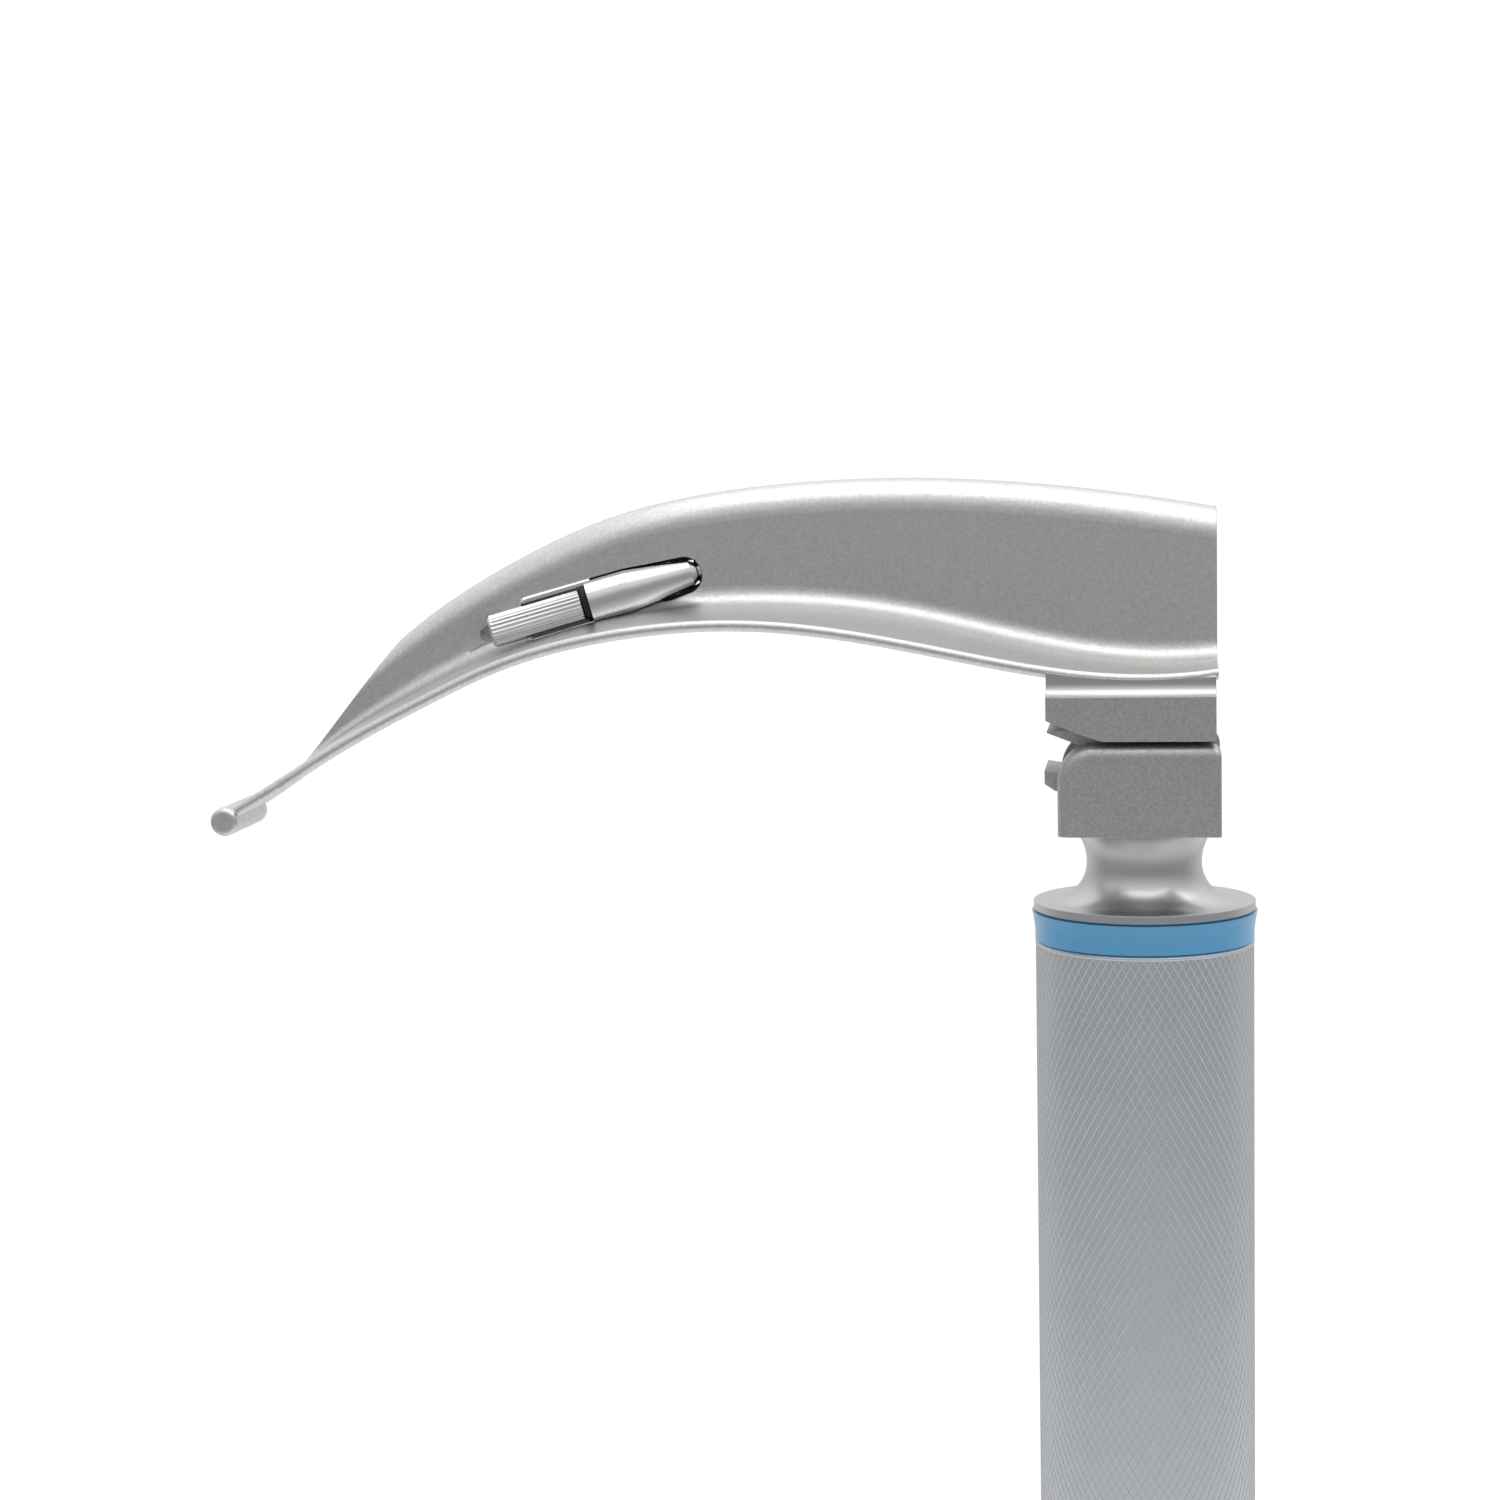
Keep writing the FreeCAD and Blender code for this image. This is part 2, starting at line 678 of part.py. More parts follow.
def hook_outline():
    """Tongue in side view: a hook, open to the front, that hangs on the hinge pin."""
    lip = heel_front - hook_lip
    mouth = heel_z0 + hook_mouth
    return [at(heel_rear, heel_z0 + 1), at(heel_front, heel_z0 + 1), at(heel_front, mouth),
            at(hinge_x - 1.8, mouth - 1.4),
            (at(hinge_x, hinge_z + seat_r), at(hinge_x + seat_r, hinge_z),
             at(hinge_x, hinge_z - seat_r)),
            at(lip, tongue_z0 + 2.8), at(lip, tongue_z0 + 1.07), at(lip + 1.4, tongue_z0 + 0.15),
            at(lip + 2.6, tongue_z0), at(heel_rear, tongue_z0)]


def heel_block(shell):
    slant = heel_z0 + heel_slant
    wide = slab([at(heel_rear, heel_z0), at(heel_rear, heel_z1), at(heel_front, heel_z1),
                 at(heel_front, heel_z0 + heel_nose), at(hinge_x - 1.24, slant),
                 at(hinge_x + 1.0, heel_z0 + 0.26), at(hinge_x + heel_seat, heel_z0)],
                -block_half, block_half)
    ledge_z = foot_z(0) - sheet
    top = foot_z(blade_rear - heel_front) + 1
    half = block_half - heel_round - 0.1
    upper = box(heel_front, heel_rear, -half, half, heel_z1 - 1, top)
    body = wide.fuse(upper)
    body = rounded(body, heel_round, lambda edge: edge.BoundBox.XLength > 20
                   and edge.BoundBox.YLength < 0.01 and abs(edge.BoundBox.ZMin - heel_z1) < 0.01
                   and abs(abs(edge.BoundBox.YMin) - half) < 0.01)
    body = body.cut(box(heel_front - 1, heel_rear + 1, web_y + 0.5 * sheet, 12, ledge_z, top + 1))
    last = blade_rear - heel_front + 1
    body = body.cut(air_over_spatula(0, last, -0.4 * sheet, web_y + 0.5 * sheet)).cut(shell)
    body = max(body.Solids, key=lambda solid: solid.Volume)
    body = body.fuse(slab(hook_outline(), -tongue_half, tongue_half))
    body = body.cut(rod(stud_bush_r, tongue_z0 - 1, stud_z1, contact_x))
    body = body.cut(cross_rod(wire_r + 0.4, 0, block_half + 1, contact_x, cable_z))
    body = body.cut(cross_rod(plug_r, block_half - plug_h, block_half + 1, contact_x, cable_z))
    body = body.cut(rod(conduit_r, cable_z, top + 1, contact_x, conduit_y))
    body = body.cut(cross_rod(ball_r + fit_gap, -block_half, block_half, ball_x, hinge_z))
    return body.removeSplitter()


def stud_bush():
    return pipe(stud_r, stud_bush_r, tongue_z0, stud_z1, contact_x)


def contact_stud():
    face = plunger_z1 + contact_touch
    neck = tongue_z0 - 0.2
    round_r = neck - face
    half = round_r * math.sqrt(0.5)
    return turned([at(0, face),
                   (at(stud_head_r - round_r, face), at(stud_head_r - round_r + half, neck - half),
                    at(stud_head_r, neck)),
                   at(stud_head_r, tongue_z0), at(stud_r, tongue_z0),
                   at(stud_r, stud_z1), at(0, stud_z1)], contact_x)


def detent_ball(side):
    return Part.makeSphere(ball_r, Vector(ball_x, side * (tongue_half + ball_out - ball_r), hinge_z))


def detent_spring():
    """Lies between the balls; they press into the room left at its ends."""
    inner = tongue_half - 2 * ball_r
    start = Vector(ball_x, -inner, hinge_z)
    return coil(ball_r - 2 * detent_wire, detent_wire, 2 * inner, detent_turns, start, Y)


def access_plug():
    return cross_rod(plug_r, block_half - plug_h, block_half - fit_gap, contact_x, cable_z)


# ---- Lamp

def lamp_socket():
    """Tapered socket with an open half-round cradle in front of its mouth."""
    bore = shank_r + socket_bore_clearance
    bore_end = tip_x + socket_bore_room
    solid = lamp_turned([(0, bore), (0, socket_r), (socket_straight, socket_r),
                         (socket_length - socket_nose, socket_rear_r),
                         (socket_length, socket_rear_r - socket_nose_drop),
                         (socket_length, conduit_r - conduit_wall),
                         (bore_end, conduit_r - conduit_wall), (bore_end, bore)])
    outer = Part.makeCylinder(socket_r, cradle_length + 1, Vector(-cradle_length, 0, 0), X)
    inner = Part.makeCylinder(socket_r - cradle_wall, cradle_length + 2,
                              Vector(-cradle_length - 1, 0, 0), X)
    cradle = outer.cut(inner).cut(box(-cradle_length - 1, 0, -5, 0, -5, 5))
    front = cradle_corner - cradle_length
    edge = socket_r - cradle_corner
    for side in (-1, 1):
        y0, y1 = sorted((side * edge, side * 5))
        notch = box(-cradle_length - 1, front, -5, cradle_corner, y0, y1)
        round_end = Part.makeCylinder(cradle_corner, 12, Vector(front, -6, side * edge), Y)
        cradle = cradle.cut(notch.cut(round_end))
    return on_lamp(solid.fuse(cradle))


def socket_insulator():
    bore = shank_r + socket_bore_clearance
    wire_bore = conduit_r - conduit_wall
    front = tip_x + 0.3
    rear = tip_x + socket_bore_room
    return on_lamp(lamp_turned([(front, tip_r), (front, bore), (rear, bore), (rear, wire_bore),
                                (front + 3, wire_bore), (front + 3, tip_r)]))


def socket_contact():
    front = tip_x + contact_touch
    return on_lamp(lamp_turned([(front, 0), (front, tip_r), (tip_x + 3.3, tip_r), (tip_x + 3.3, 0)]))


def bulb_sleeve():
    """Knurled sleeve; the glass sits in its bore."""
    front = -seal_h - sleeve_length
    rear = -seal_h - glass_seat
    edge_r = sleeve_r - sleeve_chamfer
    return on_lamp(lamp_turned([(front, lens_r), (front, edge_r), (front + sleeve_chamfer, sleeve_r),
                                (-seal_h - sleeve_chamfer, sleeve_r), (-seal_h, edge_r),
                                (-seal_h, stem_r), (rear, stem_r), (rear, lens_r)]))


def bulb_shank():
    """Threaded shank that screws into the socket."""
    rear = -seal_h - glass_seat
    return on_lamp(lamp_turned([(rear, stem_bore_r), (rear, stem_r), (0, stem_r), (0, shank_r),
                                (shank_length, shank_r), (shank_length, stem_bore_r)]))


def bulb_seal():
    inner = stem_r + fit_gap
    return on_lamp(lamp_turned([(-seal_h, inner), (-seal_h, seal_r - 0.2), (-seal_h + 0.2, seal_r),
                                (-0.2, seal_r), (0, seal_r - 0.2), (0, inner)]))


def bulb_glass():
    """Glass envelope whose front is a thick dome lens."""
    front = -seal_h - sleeve_length
    rear = -seal_h - glass_seat
    half = lens_r * math.sqrt(0.5)
    inner = lens_r - glass_wall
    outline = [Vector(front - lens_r, 0, 0),
               (Vector(front - lens_r, 0, 0), Vector(front - half, half, 0),
                Vector(front, lens_r, 0)),
               Vector(rear, lens_r, 0), Vector(rear, 0, 0), Vector(rear - glass_wall, 0, 0),
               Vector(rear - glass_wall, inner, 0), Vector(front + 1, inner, 0),
               Vector(front + 0.6, 0, 0)]
    return on_lamp(Part.Face(wire_of(outline)).revolve(Vector(), X, 360))


def bulb_filament():
    """Coiled filament across the bulb, on two lead wires fused into the glass."""
    place = -seal_h - sleeve_length + filament_back
    length = -seal_h - glass_seat - glass_wall - place
    start = Vector(place, 0, -0.5 * filament_length)
    pieces = coil(filament_r, filament_wire, filament_length, filament_turns, start, Z)
    for side in (-1, 1):
        lead = Part.makeCylinder(lead_r, length, Vector(place, 0, side * lead_half), X)
        pieces = pieces.fuse(lead)
    return on_lamp(pieces)


def bulb_bead():
    return on_lamp(lamp_turned([(shank_length, 0), (shank_length, shank_r - 0.2),
                                (shank_length + bead_insulator_h, tip_r + 0.3),
                                (shank_length + bead_insulator_h, 0)]))


def bulb_tip():
    start = shank_length + bead_insulator_h
    return on_lamp(lamp_turned([(start, 0), (start, tip_r), (tip_x - 0.1, tip_r),
                                (tip_x, tip_r - 0.2), (tip_x, 0)]))


def conduit_path():
    """From the socket's rear, behind the web, down to the heel: straight runs and tangent arcs."""
    place = lamp_place()
    start = place.multVec(Vector(socket_length + 3 * fit_gap, 0, 0))
    high = crest_z(0.45 * blade_length) - 8.0
    corners = [start, place.multVec(Vector(socket_length + 9, 0, 0)),
               Vector(-28, conduit_y, high), Vector(contact_x, conduit_y, high - 3.0),
               Vector(contact_x, conduit_y, cable_z + wire_r)]
    corners[1].y = conduit_y
    edges = []
    last = corners[0]
    for index in range(1, len(corners) - 1):
        corner = corners[index]
        before = (corners[index - 1] - corner).normalize()
        after = (corners[index + 1] - corner).normalize()
        first, end = corner + before * conduit_bend, corner + after * conduit_bend
        turn = before.getAngle(after)
        radius = conduit_bend * math.tan(0.5 * turn)
        centre = corner + (before + after).normalize() * (conduit_bend / math.cos(0.5 * turn))
        middle = centre + (corner - centre).normalize() * radius
        edges += [Part.makeLine(last, first), Part.Arc(first, middle, end).toShape()]
        last = end
    edges.append(Part.makeLine(last, corners[-1]))
    return Part.Wire(edges)


def along_conduit(radius):
    path = conduit_path()
    edge = path.Edges[0]
    start = edge.valueAt(edge.FirstParameter)
    direction = edge.tangentAt(edge.FirstParameter)
    section = Part.Wire(Part.makeCircle(radius, start, direction))
    return path.makePipeShell([section], True, False)


def wire_conduit():
    return along_conduit(conduit_r).cut(along_conduit(conduit_r - conduit_wall))


def lamp_wire():
    """Through the conduit, then across the heel to the stud."""
    run = along_conduit(wire_r)
    return run.fuse(cross_rod(wire_r, 0, conduit_y + wire_r, contact_x, cable_z))


# ---- Write every piece

save(battery_tube(), "battery_tube")
for number in range(cell_count):
    for part_name, piece in cell_pieces(stack_z0 + number * cell_length).items():
        save(piece, "cell_%d_%s" % (number + 1, part_name))
save(base_cap(), "base_cap")
save(cap_ring(), "cap_ring")
save(rod(cap_disc_r, cap_floor, cap_floor + cap_disc_h), "cap_contact_disc")
save(cell_spring(), "cell_spring")
save(colour_ring(), "colour_ring")
save(handle_head(), "handle_head")
save(hinge_pin(), "hinge_pin")
save(contact_bush(), "contact_bush")
save(contact_plunger(), "contact_plunger")
save(plunger_spring(), "plunger_spring")
save(lower_contact(), "lower_contact")
save(bush_nut(), "bush_nut")
blade = blade_shell()
save(blade, "blade_shell")
save(heel_block(blade), "heel_block")
save(stud_bush(), "stud_bush")
save(contact_stud(), "contact_stud")
save(detent_ball(-1), "detent_ball_near")
save(detent_ball(1), "detent_ball_far")
save(detent_spring(), "detent_spring")
save(access_plug(), "access_plug")
save(lamp_socket(), "lamp_socket")
save(socket_insulator(), "socket_insulator")
save(socket_contact(), "socket_contact")
save(bulb_sleeve(), "bulb_sleeve")
save(bulb_shank(), "bulb_shank")
save(bulb_seal(), "bulb_seal")
save(bulb_glass(), "bulb_glass")
save(bulb_filament(), "bulb_filament")
save(bulb_bead(), "bulb_bead")
save(bulb_tip(), "bulb_tip")
save(wire_conduit(), "wire_conduit")
save(lamp_wire(), "lamp_wire")
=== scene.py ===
"""Hook-on laryngoscope: finishes, fine pieces and a small studio around its CAD model."""
import json
import math

import bmesh
import bpy
from bpy.props import FloatProperty, FloatVectorProperty, IntProperty, PointerProperty
from mathutils import Matrix, Vector


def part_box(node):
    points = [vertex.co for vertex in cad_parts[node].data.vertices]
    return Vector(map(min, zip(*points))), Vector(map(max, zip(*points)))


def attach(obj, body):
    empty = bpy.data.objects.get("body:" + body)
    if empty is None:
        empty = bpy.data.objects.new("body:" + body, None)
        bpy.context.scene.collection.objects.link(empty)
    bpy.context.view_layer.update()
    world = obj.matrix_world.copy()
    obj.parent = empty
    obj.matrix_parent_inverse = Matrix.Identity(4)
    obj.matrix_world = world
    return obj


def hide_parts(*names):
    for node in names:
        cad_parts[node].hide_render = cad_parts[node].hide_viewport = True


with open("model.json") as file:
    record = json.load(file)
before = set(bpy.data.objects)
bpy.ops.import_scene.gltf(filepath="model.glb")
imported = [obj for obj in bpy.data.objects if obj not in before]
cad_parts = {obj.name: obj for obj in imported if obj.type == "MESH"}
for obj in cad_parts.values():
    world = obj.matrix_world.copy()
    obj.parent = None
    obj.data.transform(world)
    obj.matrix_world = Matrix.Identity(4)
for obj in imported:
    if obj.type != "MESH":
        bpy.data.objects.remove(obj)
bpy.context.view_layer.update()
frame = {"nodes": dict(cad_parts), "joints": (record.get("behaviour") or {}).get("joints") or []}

bl_info = {
    "name": "Laryngoscope",
    "version": (1, 0, 0),
    "blender": (4, 5, 0),
    "location": "3D View > Sidebar > Laryngoscope",
    "description": "Finishes and fine pieces of a hook-on laryngoscope",
    "category": "Object",
}

MM = 0.001
PI = math.pi
UP = Vector((0, 0, 1))
# Vertices this close to a wall or a height count as on it; closer ones are merged.
NEAR = 0.001 * MM
WELD = 0.0005 * MM
# Steps round a plain circle, and round a wall for each groove cut in it.
ROUND = 96
STEPS_PER_GROOVE = 6


# ---- Sizes and colours

def length(name, description, default):
    """A length property; its default is in millimetres."""
    return FloatProperty(name=name, description=description, default=default * MM,
                         min=0.0, precision=5, subtype="DISTANCE", unit="LENGTH")


def position(name, description, default):
    """A position property; its default is in millimetres."""
    return FloatVectorProperty(name=name, description=description, size=3, precision=5,
                               default=[part * MM for part in default],
                               subtype="TRANSLATION", unit="LENGTH")


def angle(name, description, default):
    """An angle property; its default is in radians."""
    return FloatProperty(name=name, description=description, default=default,
                         precision=5, subtype="ANGLE", unit="ROTATION")


def colour(name, description, default):
    """A colour property."""
    return FloatVectorProperty(name=name, description=description, default=default,
                               size=3, min=0.0, max=1.0, subtype="COLOR")


class HandleSizes(bpy.types.PropertyGroup):
    """Battery tube, base cap, and where the head and the heel turn polished; on the heel the paler
    polished top is also painted light.
    """
    knurl_round: IntProperty(name="Diamonds round", description="Knurl diamonds round the tube",
                             default=80, min=12, max=90)
    knurl_pitch: length("Diamond length", "One knurl diamond along the tube", 1.9)
    knurl_depth: length("Knurl depth", "Depth of the grooves between the diamonds", 0.06)
    groove_half: length("Groove half width", "Half a groove's width", 0.09)
    land: length("Plain land", "Smooth band between the knurl and an edge", 0.25)
    tube_wall: length("Tube wall", "Wall of the battery tube", 1.0)
    thread_wall: length("Thread wall", "Wall of the tube at the base cap's thread", 0.55)
    thread_h: length("Thread length", "Bored length for the base cap's thread", 7.0)
    chamfer: length("Chamfer", "Chamfer at the tube's top", 0.4)
    neck_top: length("Neck top", "Height where the polished neck meets the block", 140.7)
    # Above this height the heel's upward-facing round is smoother and has none of the blast's
    # darker speckle; that paler colour is painted light.
    heel_polished_lit_top: length("Heel top", "Height where the blade's heel turns polished", 158.7)
    polish_before: length("Polish before", "How far short of that height polish begins", 0.1)
    polish_past: length("Polish past", "How far past it the polish is full", 0.2)
    cap_ridges: IntProperty(name="Cap ridges", description="Grip ridges round the base cap",
                            default=60, min=20, max=120)
    cap_ridge_depth: length("Cap ridge depth", "Depth of the grooves between them", 0.25)
    flute_run: length("Cap land", "Plain land beside the cap's ridges", 0.5)
    cap_edge: length("Cap edge", "Rounding of the cap's lower edge", 0.9)
    cap_wall: length("Cap wall", "Wall of the cap's spigot", 2.1)
    cap_pitch: length("Cap pitch", "Pitch of the cap's thread, drawn as rings", 1.0)
    thread_depth: length("Thread depth", "Depth of the cap's thread", 0.3)
    coin_slot_l: length("Coin slot length", "Slot across the base cap", 16.0)
    coin_slot_w: length("Coin slot width", "Width of the slot", 2.2)
    coin_slot_h: length("Coin slot depth", "Depth of the slot", 1.2)


class LampSizes(bpy.types.PropertyGroup):
    """Fluted sleeve of the lamp, its socket and the near-black ring of painted shade round the
    socket.
    """
    flutes: IntProperty(name="Flutes", description="Grip flutes round the sleeve",
                        default=22, min=8, max=48)
    flute_depth: length("Flute depth", "Depth of the grip flutes", 0.2)
    flute_run: length("Flute run", "Plain land at each end of the flutes", 0.35)
    sleeve_r: length("Sleeve radius", "Over the flutes", 2.175)
    sleeve_length: length("Sleeve length", "From the seal to the front", 12.9)
    sleeve_edge: length("Sleeve edge", "Chamfer at both ends", 0.3)
    seal_h: length("Seal", "Thickness of the seal behind the sleeve", 0.8)
    sleeve_bore: length("Lens bore", "Radius of the bore that holds the glass", 1.5)
    shank_bore: length("Shank bore", "Radius of the bore behind the glass", 1.0)
    shank_h: length("Shank bore length", "Length of the narrow bore", 3.0)
    socket_r: length("Socket radius", "Over the socket's straight part", 2.9)
    socket_rear_r: length("Socket rear radius", "Over its tapered rear", 1.9)
    socket_straight: length("Socket straight", "Length of the straight part", 5.5)
    socket_length: length("Socket length", "From its mouth to its rear", 15.0)
    # The ring round the socket is painted shade: a near-black ring that fills the gap, sized and
    # placed by these two lengths.
    painted_shade: length("Braze", "Width and depth of the braze round the socket", 0.9)
    painted_shade_y: length("Braze place", "Middle of the braze in the web's thickness", 4.55)


class Colours(bpy.types.PropertyGroup):
    """Base colours of the finishes."""
    blade: colour("Blade steel", "Satin steel of the blade", (0.745, 0.74, 0.73))
    head: colour("Blasted steel", "Matt steel of the fork and the heel", (0.545, 0.55, 0.56))
    tube: colour("Tube steel", "Knurled steel of the battery tube", (0.59, 0.61, 0.635))
    bright: colour("Bright steel", "Polished steel of the pin, balls and lamp", (0.76, 0.76, 0.75))
    spring: colour("Spring steel", "Steel of the springs", (0.42, 0.42, 0.41))
    ring: colour("Colour ring", "Anodised blue of the ring", (0.088, 0.345, 0.62))
    brass: colour("Brass", "Contacts and shank", (0.71, 0.49, 0.20))
    rubber: colour("Rubber", "Seals", (0.012, 0.012, 0.013))
    ivory: colour("Bush", "Insulating bush", (0.72, 0.70, 0.64))
    wrap: colour("Cell wrap", "Printed wrap of the cells", (0.02, 0.05, 0.11))
    band: colour("Cell band", "Band round the top of the cells", (0.55, 0.26, 0.05))
    line: colour("Cell line", "Printed line below the band", (0.6, 0.6, 0.6))
    glass: colour("Glass", "Glass of the lamp", (0.62, 0.63, 0.64))
    filament: colour("Filament", "Wire of the filament", (0.3, 0.29, 0.28))
    solder: colour("Solder", "Solder tip of the lamp", (0.62, 0.62, 0.6))
    blued: colour("Blued steel", "Patches on drawn wire", (0.36, 0.33, 0.31))
    tarnish: colour("Tarnish", "Patches on turned brass", (0.36, 0.22, 0.08))
    bloom: colour("Bloom", "Dusty patches on rubber", (0.045, 0.044, 0.042))


class Studio(bpy.types.PropertyGroup):
    """Floor, overhead light, pale room and camera."""
    floor: colour("Floor", "Pale floor", (0.94, 0.94, 0.94))
    floor_r: FloatProperty(name="Floor radius", description="Radius of the floor",
                           default=1.4, min=0.5, subtype="DISTANCE", unit="LENGTH")
    floor_drop: length("Floor drop", "Gap that keeps the floor off the cap's face", 0.05)
    fade_from: length("Fade from", "Radius where the floor begins to fade", 56.0)
    fade_to: length("Fade to", "Radius where the floor is gone", 420.0)
    lens: FloatProperty(name="Lens", description="Focal length on the sensor's width, in mm",
                        default=74.4, min=20.0)
    sensor: FloatProperty(name="Sensor", description="Width of the sensor, in mm",
                          default=36.0, min=1.0)
    camera_place: position("Camera place", "Where the camera stands", (4.153, -405.556, 195.873))
    yaw: angle("Yaw", "Camera turned to the left", 0.13728)
    pitch: angle("Pitch", "Camera tipped downwards", 0.10924)
    roll: angle("Roll", "Camera rolled about its own axis", -0.01927)
    overhead: FloatProperty(name="Overhead", description="Power of the overhead light",
                            default=4.0, min=0.0, unit="POWER")
    overhead_place: position("Overhead place", "Middle of the overhead light",
                             (200.0, -50.0, 1000.0))
    overhead_wide: length("Overhead width", "Size of the overhead light across", 1200.0)
    overhead_deep: length("Overhead depth", "Size of the overhead light front to back", 1000.0)
    backdrop: FloatProperty(name="Backdrop", description="Brightness of the pale backdrop",
                            default=1.05, min=0.0)
    sides: FloatProperty(name="Sides", description="Light from the sides", default=0.40, min=0.0)
    sky: FloatProperty(name="Sky", description="More light from above", default=0.5, min=0.0)
    back: FloatProperty(name="Back", description="More light from behind", default=0.34, min=0.0)
    front: FloatProperty(name="Front", description="Light lost in front of the object",
                         default=0.04, min=0.0)


# ---- Finishes

class Wire:
    """A value in a finish's nodes; sums written with it add Math nodes."""

    def __init__(self, nodes, socket):
        self.nodes = nodes
        self.socket = socket

    def _sum(self, operation, first, second):
        return self.nodes.node("Math", {"operation": operation}, {0: first, 1: second})

    def __add__(self, other):
        return self._sum("ADD", self, other)

    def __radd__(self, other):
        return self._sum("ADD", other, self)

    def __sub__(self, other):
        return self._sum("SUBTRACT", self, other)

    def __rsub__(self, other):
        return self._sum("SUBTRACT", other, self)

    def __mul__(self, other):
        return self._sum("MULTIPLY", self, other)

    def __rmul__(self, other):
        return self._sum("MULTIPLY", other, self)

    def __gt__(self, other):
        return self._sum("GREATER_THAN", self, other)


class Nodes:
    """A node tree that is written as expressions."""

    def __init__(self, tree):
        self.tree = tree
        tree.nodes.clear()

    def node(self, kind, settings=None, sockets=None, out=0):
        """Add a node: its settings first, then the values or links of its sockets."""
        made = self.tree.nodes.new("ShaderNode" + kind)
        for key, value in (settings or {}).items():
            setattr(made, key, value)
        for key, value in (sockets or {}).items():
            if isinstance(value, Wire):
                self.tree.links.new(value.socket, made.inputs[key])
            else:
                made.inputs[key].default_value = value
        return Wire(self, made.outputs[out])


class Finish(Nodes):
    """A material on the Principled shader."""

    def __init__(self, name, base, **constants):
        self.material = bpy.data.materials.new(name)
        self.material.use_nodes = True
        super().__init__(self.material.node_tree)
        self.shader = self.tree.nodes.new("ShaderNodeBsdfPrincipled")
        made = self.tree.nodes.new("ShaderNodeOutputMaterial")
        self.tree.links.new(self.shader.outputs[0], made.inputs[0])
        self.base = (*base, 1.0)
        self.shader.inputs["Base Color"].default_value = self.base
        for key, value in constants.items():
            self.shader.inputs[key.replace("_", " ")].default_value = value
        self.place = self.node("TexCoord", out="Object")

    def feed(self, socket, value):
        """Link a value to a socket of the shader."""
        self.tree.links.new(value.socket, self.shader.inputs[socket])

    def stretched(self, scale):
        """Object coordinates scaled unevenly, for brushed or spun marks."""
        return self.node("Mapping", None, {"Vector": self.place, "Scale": scale})

    def noise(self, scale, detail, at=None):
        """Cloudy noise on the object's own coordinates, or on stretched ones."""
        return self.node("TexNoise", None, {"Vector": at or self.place, "Scale": scale,
                                            "Detail": detail})

    def between(self, value, low, high, to_low, to_high):
        """A value carried from one range to another."""
        return self.node("MapRange", None, {"Value": value, "From Min": low, "From Max": high,
                                            "To Min": to_low, "To Max": to_high})

    def mixed(self, share, first, second):
        """Blend of two colours, each a triple or a link."""
        sides = [side if isinstance(side, Wire) else (*side, 1.0) for side in (first, second)]
        return self.node("Mix", {"data_type": "RGBA"},
                         {0: share, 6: sides[0], 7: sides[1]}, out=2)

    def tint(self, share, factor):
        """Base colour that turns to a lighter or darker one where share is 1."""
        other = tuple(min(1.0, part * factor) for part in self.base[:3])
        self.feed("Base Color", self.mixed(share, self.base[:3], other))

    def edges(self, radius):
        """Mask of the sharp edges, and the softened normal over them."""
        soft = self.node("Bevel", {"samples": 4}, {"Radius": radius})
        flat = self.node("NewGeometry", out="Normal")
        dot = self.node("VectorMath", {"operation": "DOT_PRODUCT"}, {0: soft, 1: flat},
                        out="Value")
        return self.between(dot, 0.995, 0.8, 0.0, 1.0), soft

    def bump(self, height, depth, strength, normal=None):
        """Relief of a mask, so deep, laid over the face or over a softened normal."""
        sockets = {"Height": height, "Distance": depth, "Strength": strength}
        if normal is not None:
            sockets["Normal"] = normal
        self.feed("Normal", self.node("Bump", None, sockets))


def satin_steel(name, base, rough=0.34, grain=(260.0, 4200.0, 4200.0)):
    """Steel rubbed along the blade, speckled, with cloudy patches and polished edges."""
    made = Finish(name, base, Metallic=1.0)
    rubbed = made.noise(1.0, 3.0, made.stretched(grain))
    speckle = made.noise(2600.0, 1.0)
    cloudy = made.noise(70.0, 2.0)
    worn, soft = made.edges(0.3 * MM)
    dots = made.between(speckle, 0.35, 0.65, 0.0, 0.5)
    made.tint(cloudy * 0.3 + rubbed * 0.2 + dots, 0.76)
    made.feed("Roughness", rough - 0.07 + rubbed * 0.07 + cloudy * 0.05 + speckle * 0.08
              - worn * 0.12)
    made.bump(rubbed + speckle, 0.004 * MM, 0.6, soft)
    return made


def blasted_steel(name, base, smooth_z0, smooth_z1, rough=0.46):
    """Steel blasted with fine beads, its edges rubbed bright; past smooth_z1 it is polished."""
    made = Finish(name, base, Metallic=1.0)
    grain = made.noise(2800.0, 2.0)
    cloudy = made.noise(160.0, 2.0)
    worn, soft = made.edges(0.14 * MM)
    height = made.node("SeparateXYZ", None, {0: made.place}, out="Z")
    blasted = 1.0 - made.between(height, smooth_z0, smooth_z1, 0.0, 1.0)
    matt = (1.0 - worn) * blasted
    dots = made.between(grain, 0.35, 0.65, 0.0, 0.7)
    # Only the blasted part takes the darker speckle, so the polished part is paler; on the heel's
    # upward-facing round that paler colour is painted light.
    made.tint((cloudy * 0.25 + dots) * blasted, 0.72)
    made.feed("Roughness", rough - 0.22 + cloudy * 0.04 + matt * 0.18 + grain * 0.08)
    made.bump(grain * matt, 0.006 * MM, 0.7, soft)
    return made


def knurl_steel(name, base):
    """Turned and knurled steel with a fine grain and cloudy patches."""
    made = Finish(name, base, Metallic=1.0)
    grain = made.noise(4200.0, 2.0)
    cloudy = made.noise(120.0, 2.0)
    made.tint(cloudy * 0.4 + grain * 0.3, 0.85)
    made.feed("Roughness", 0.36 + grain * 0.08 + cloudy * 0.05)
    made.bump(grain, 0.004 * MM, 0.6)
    return made


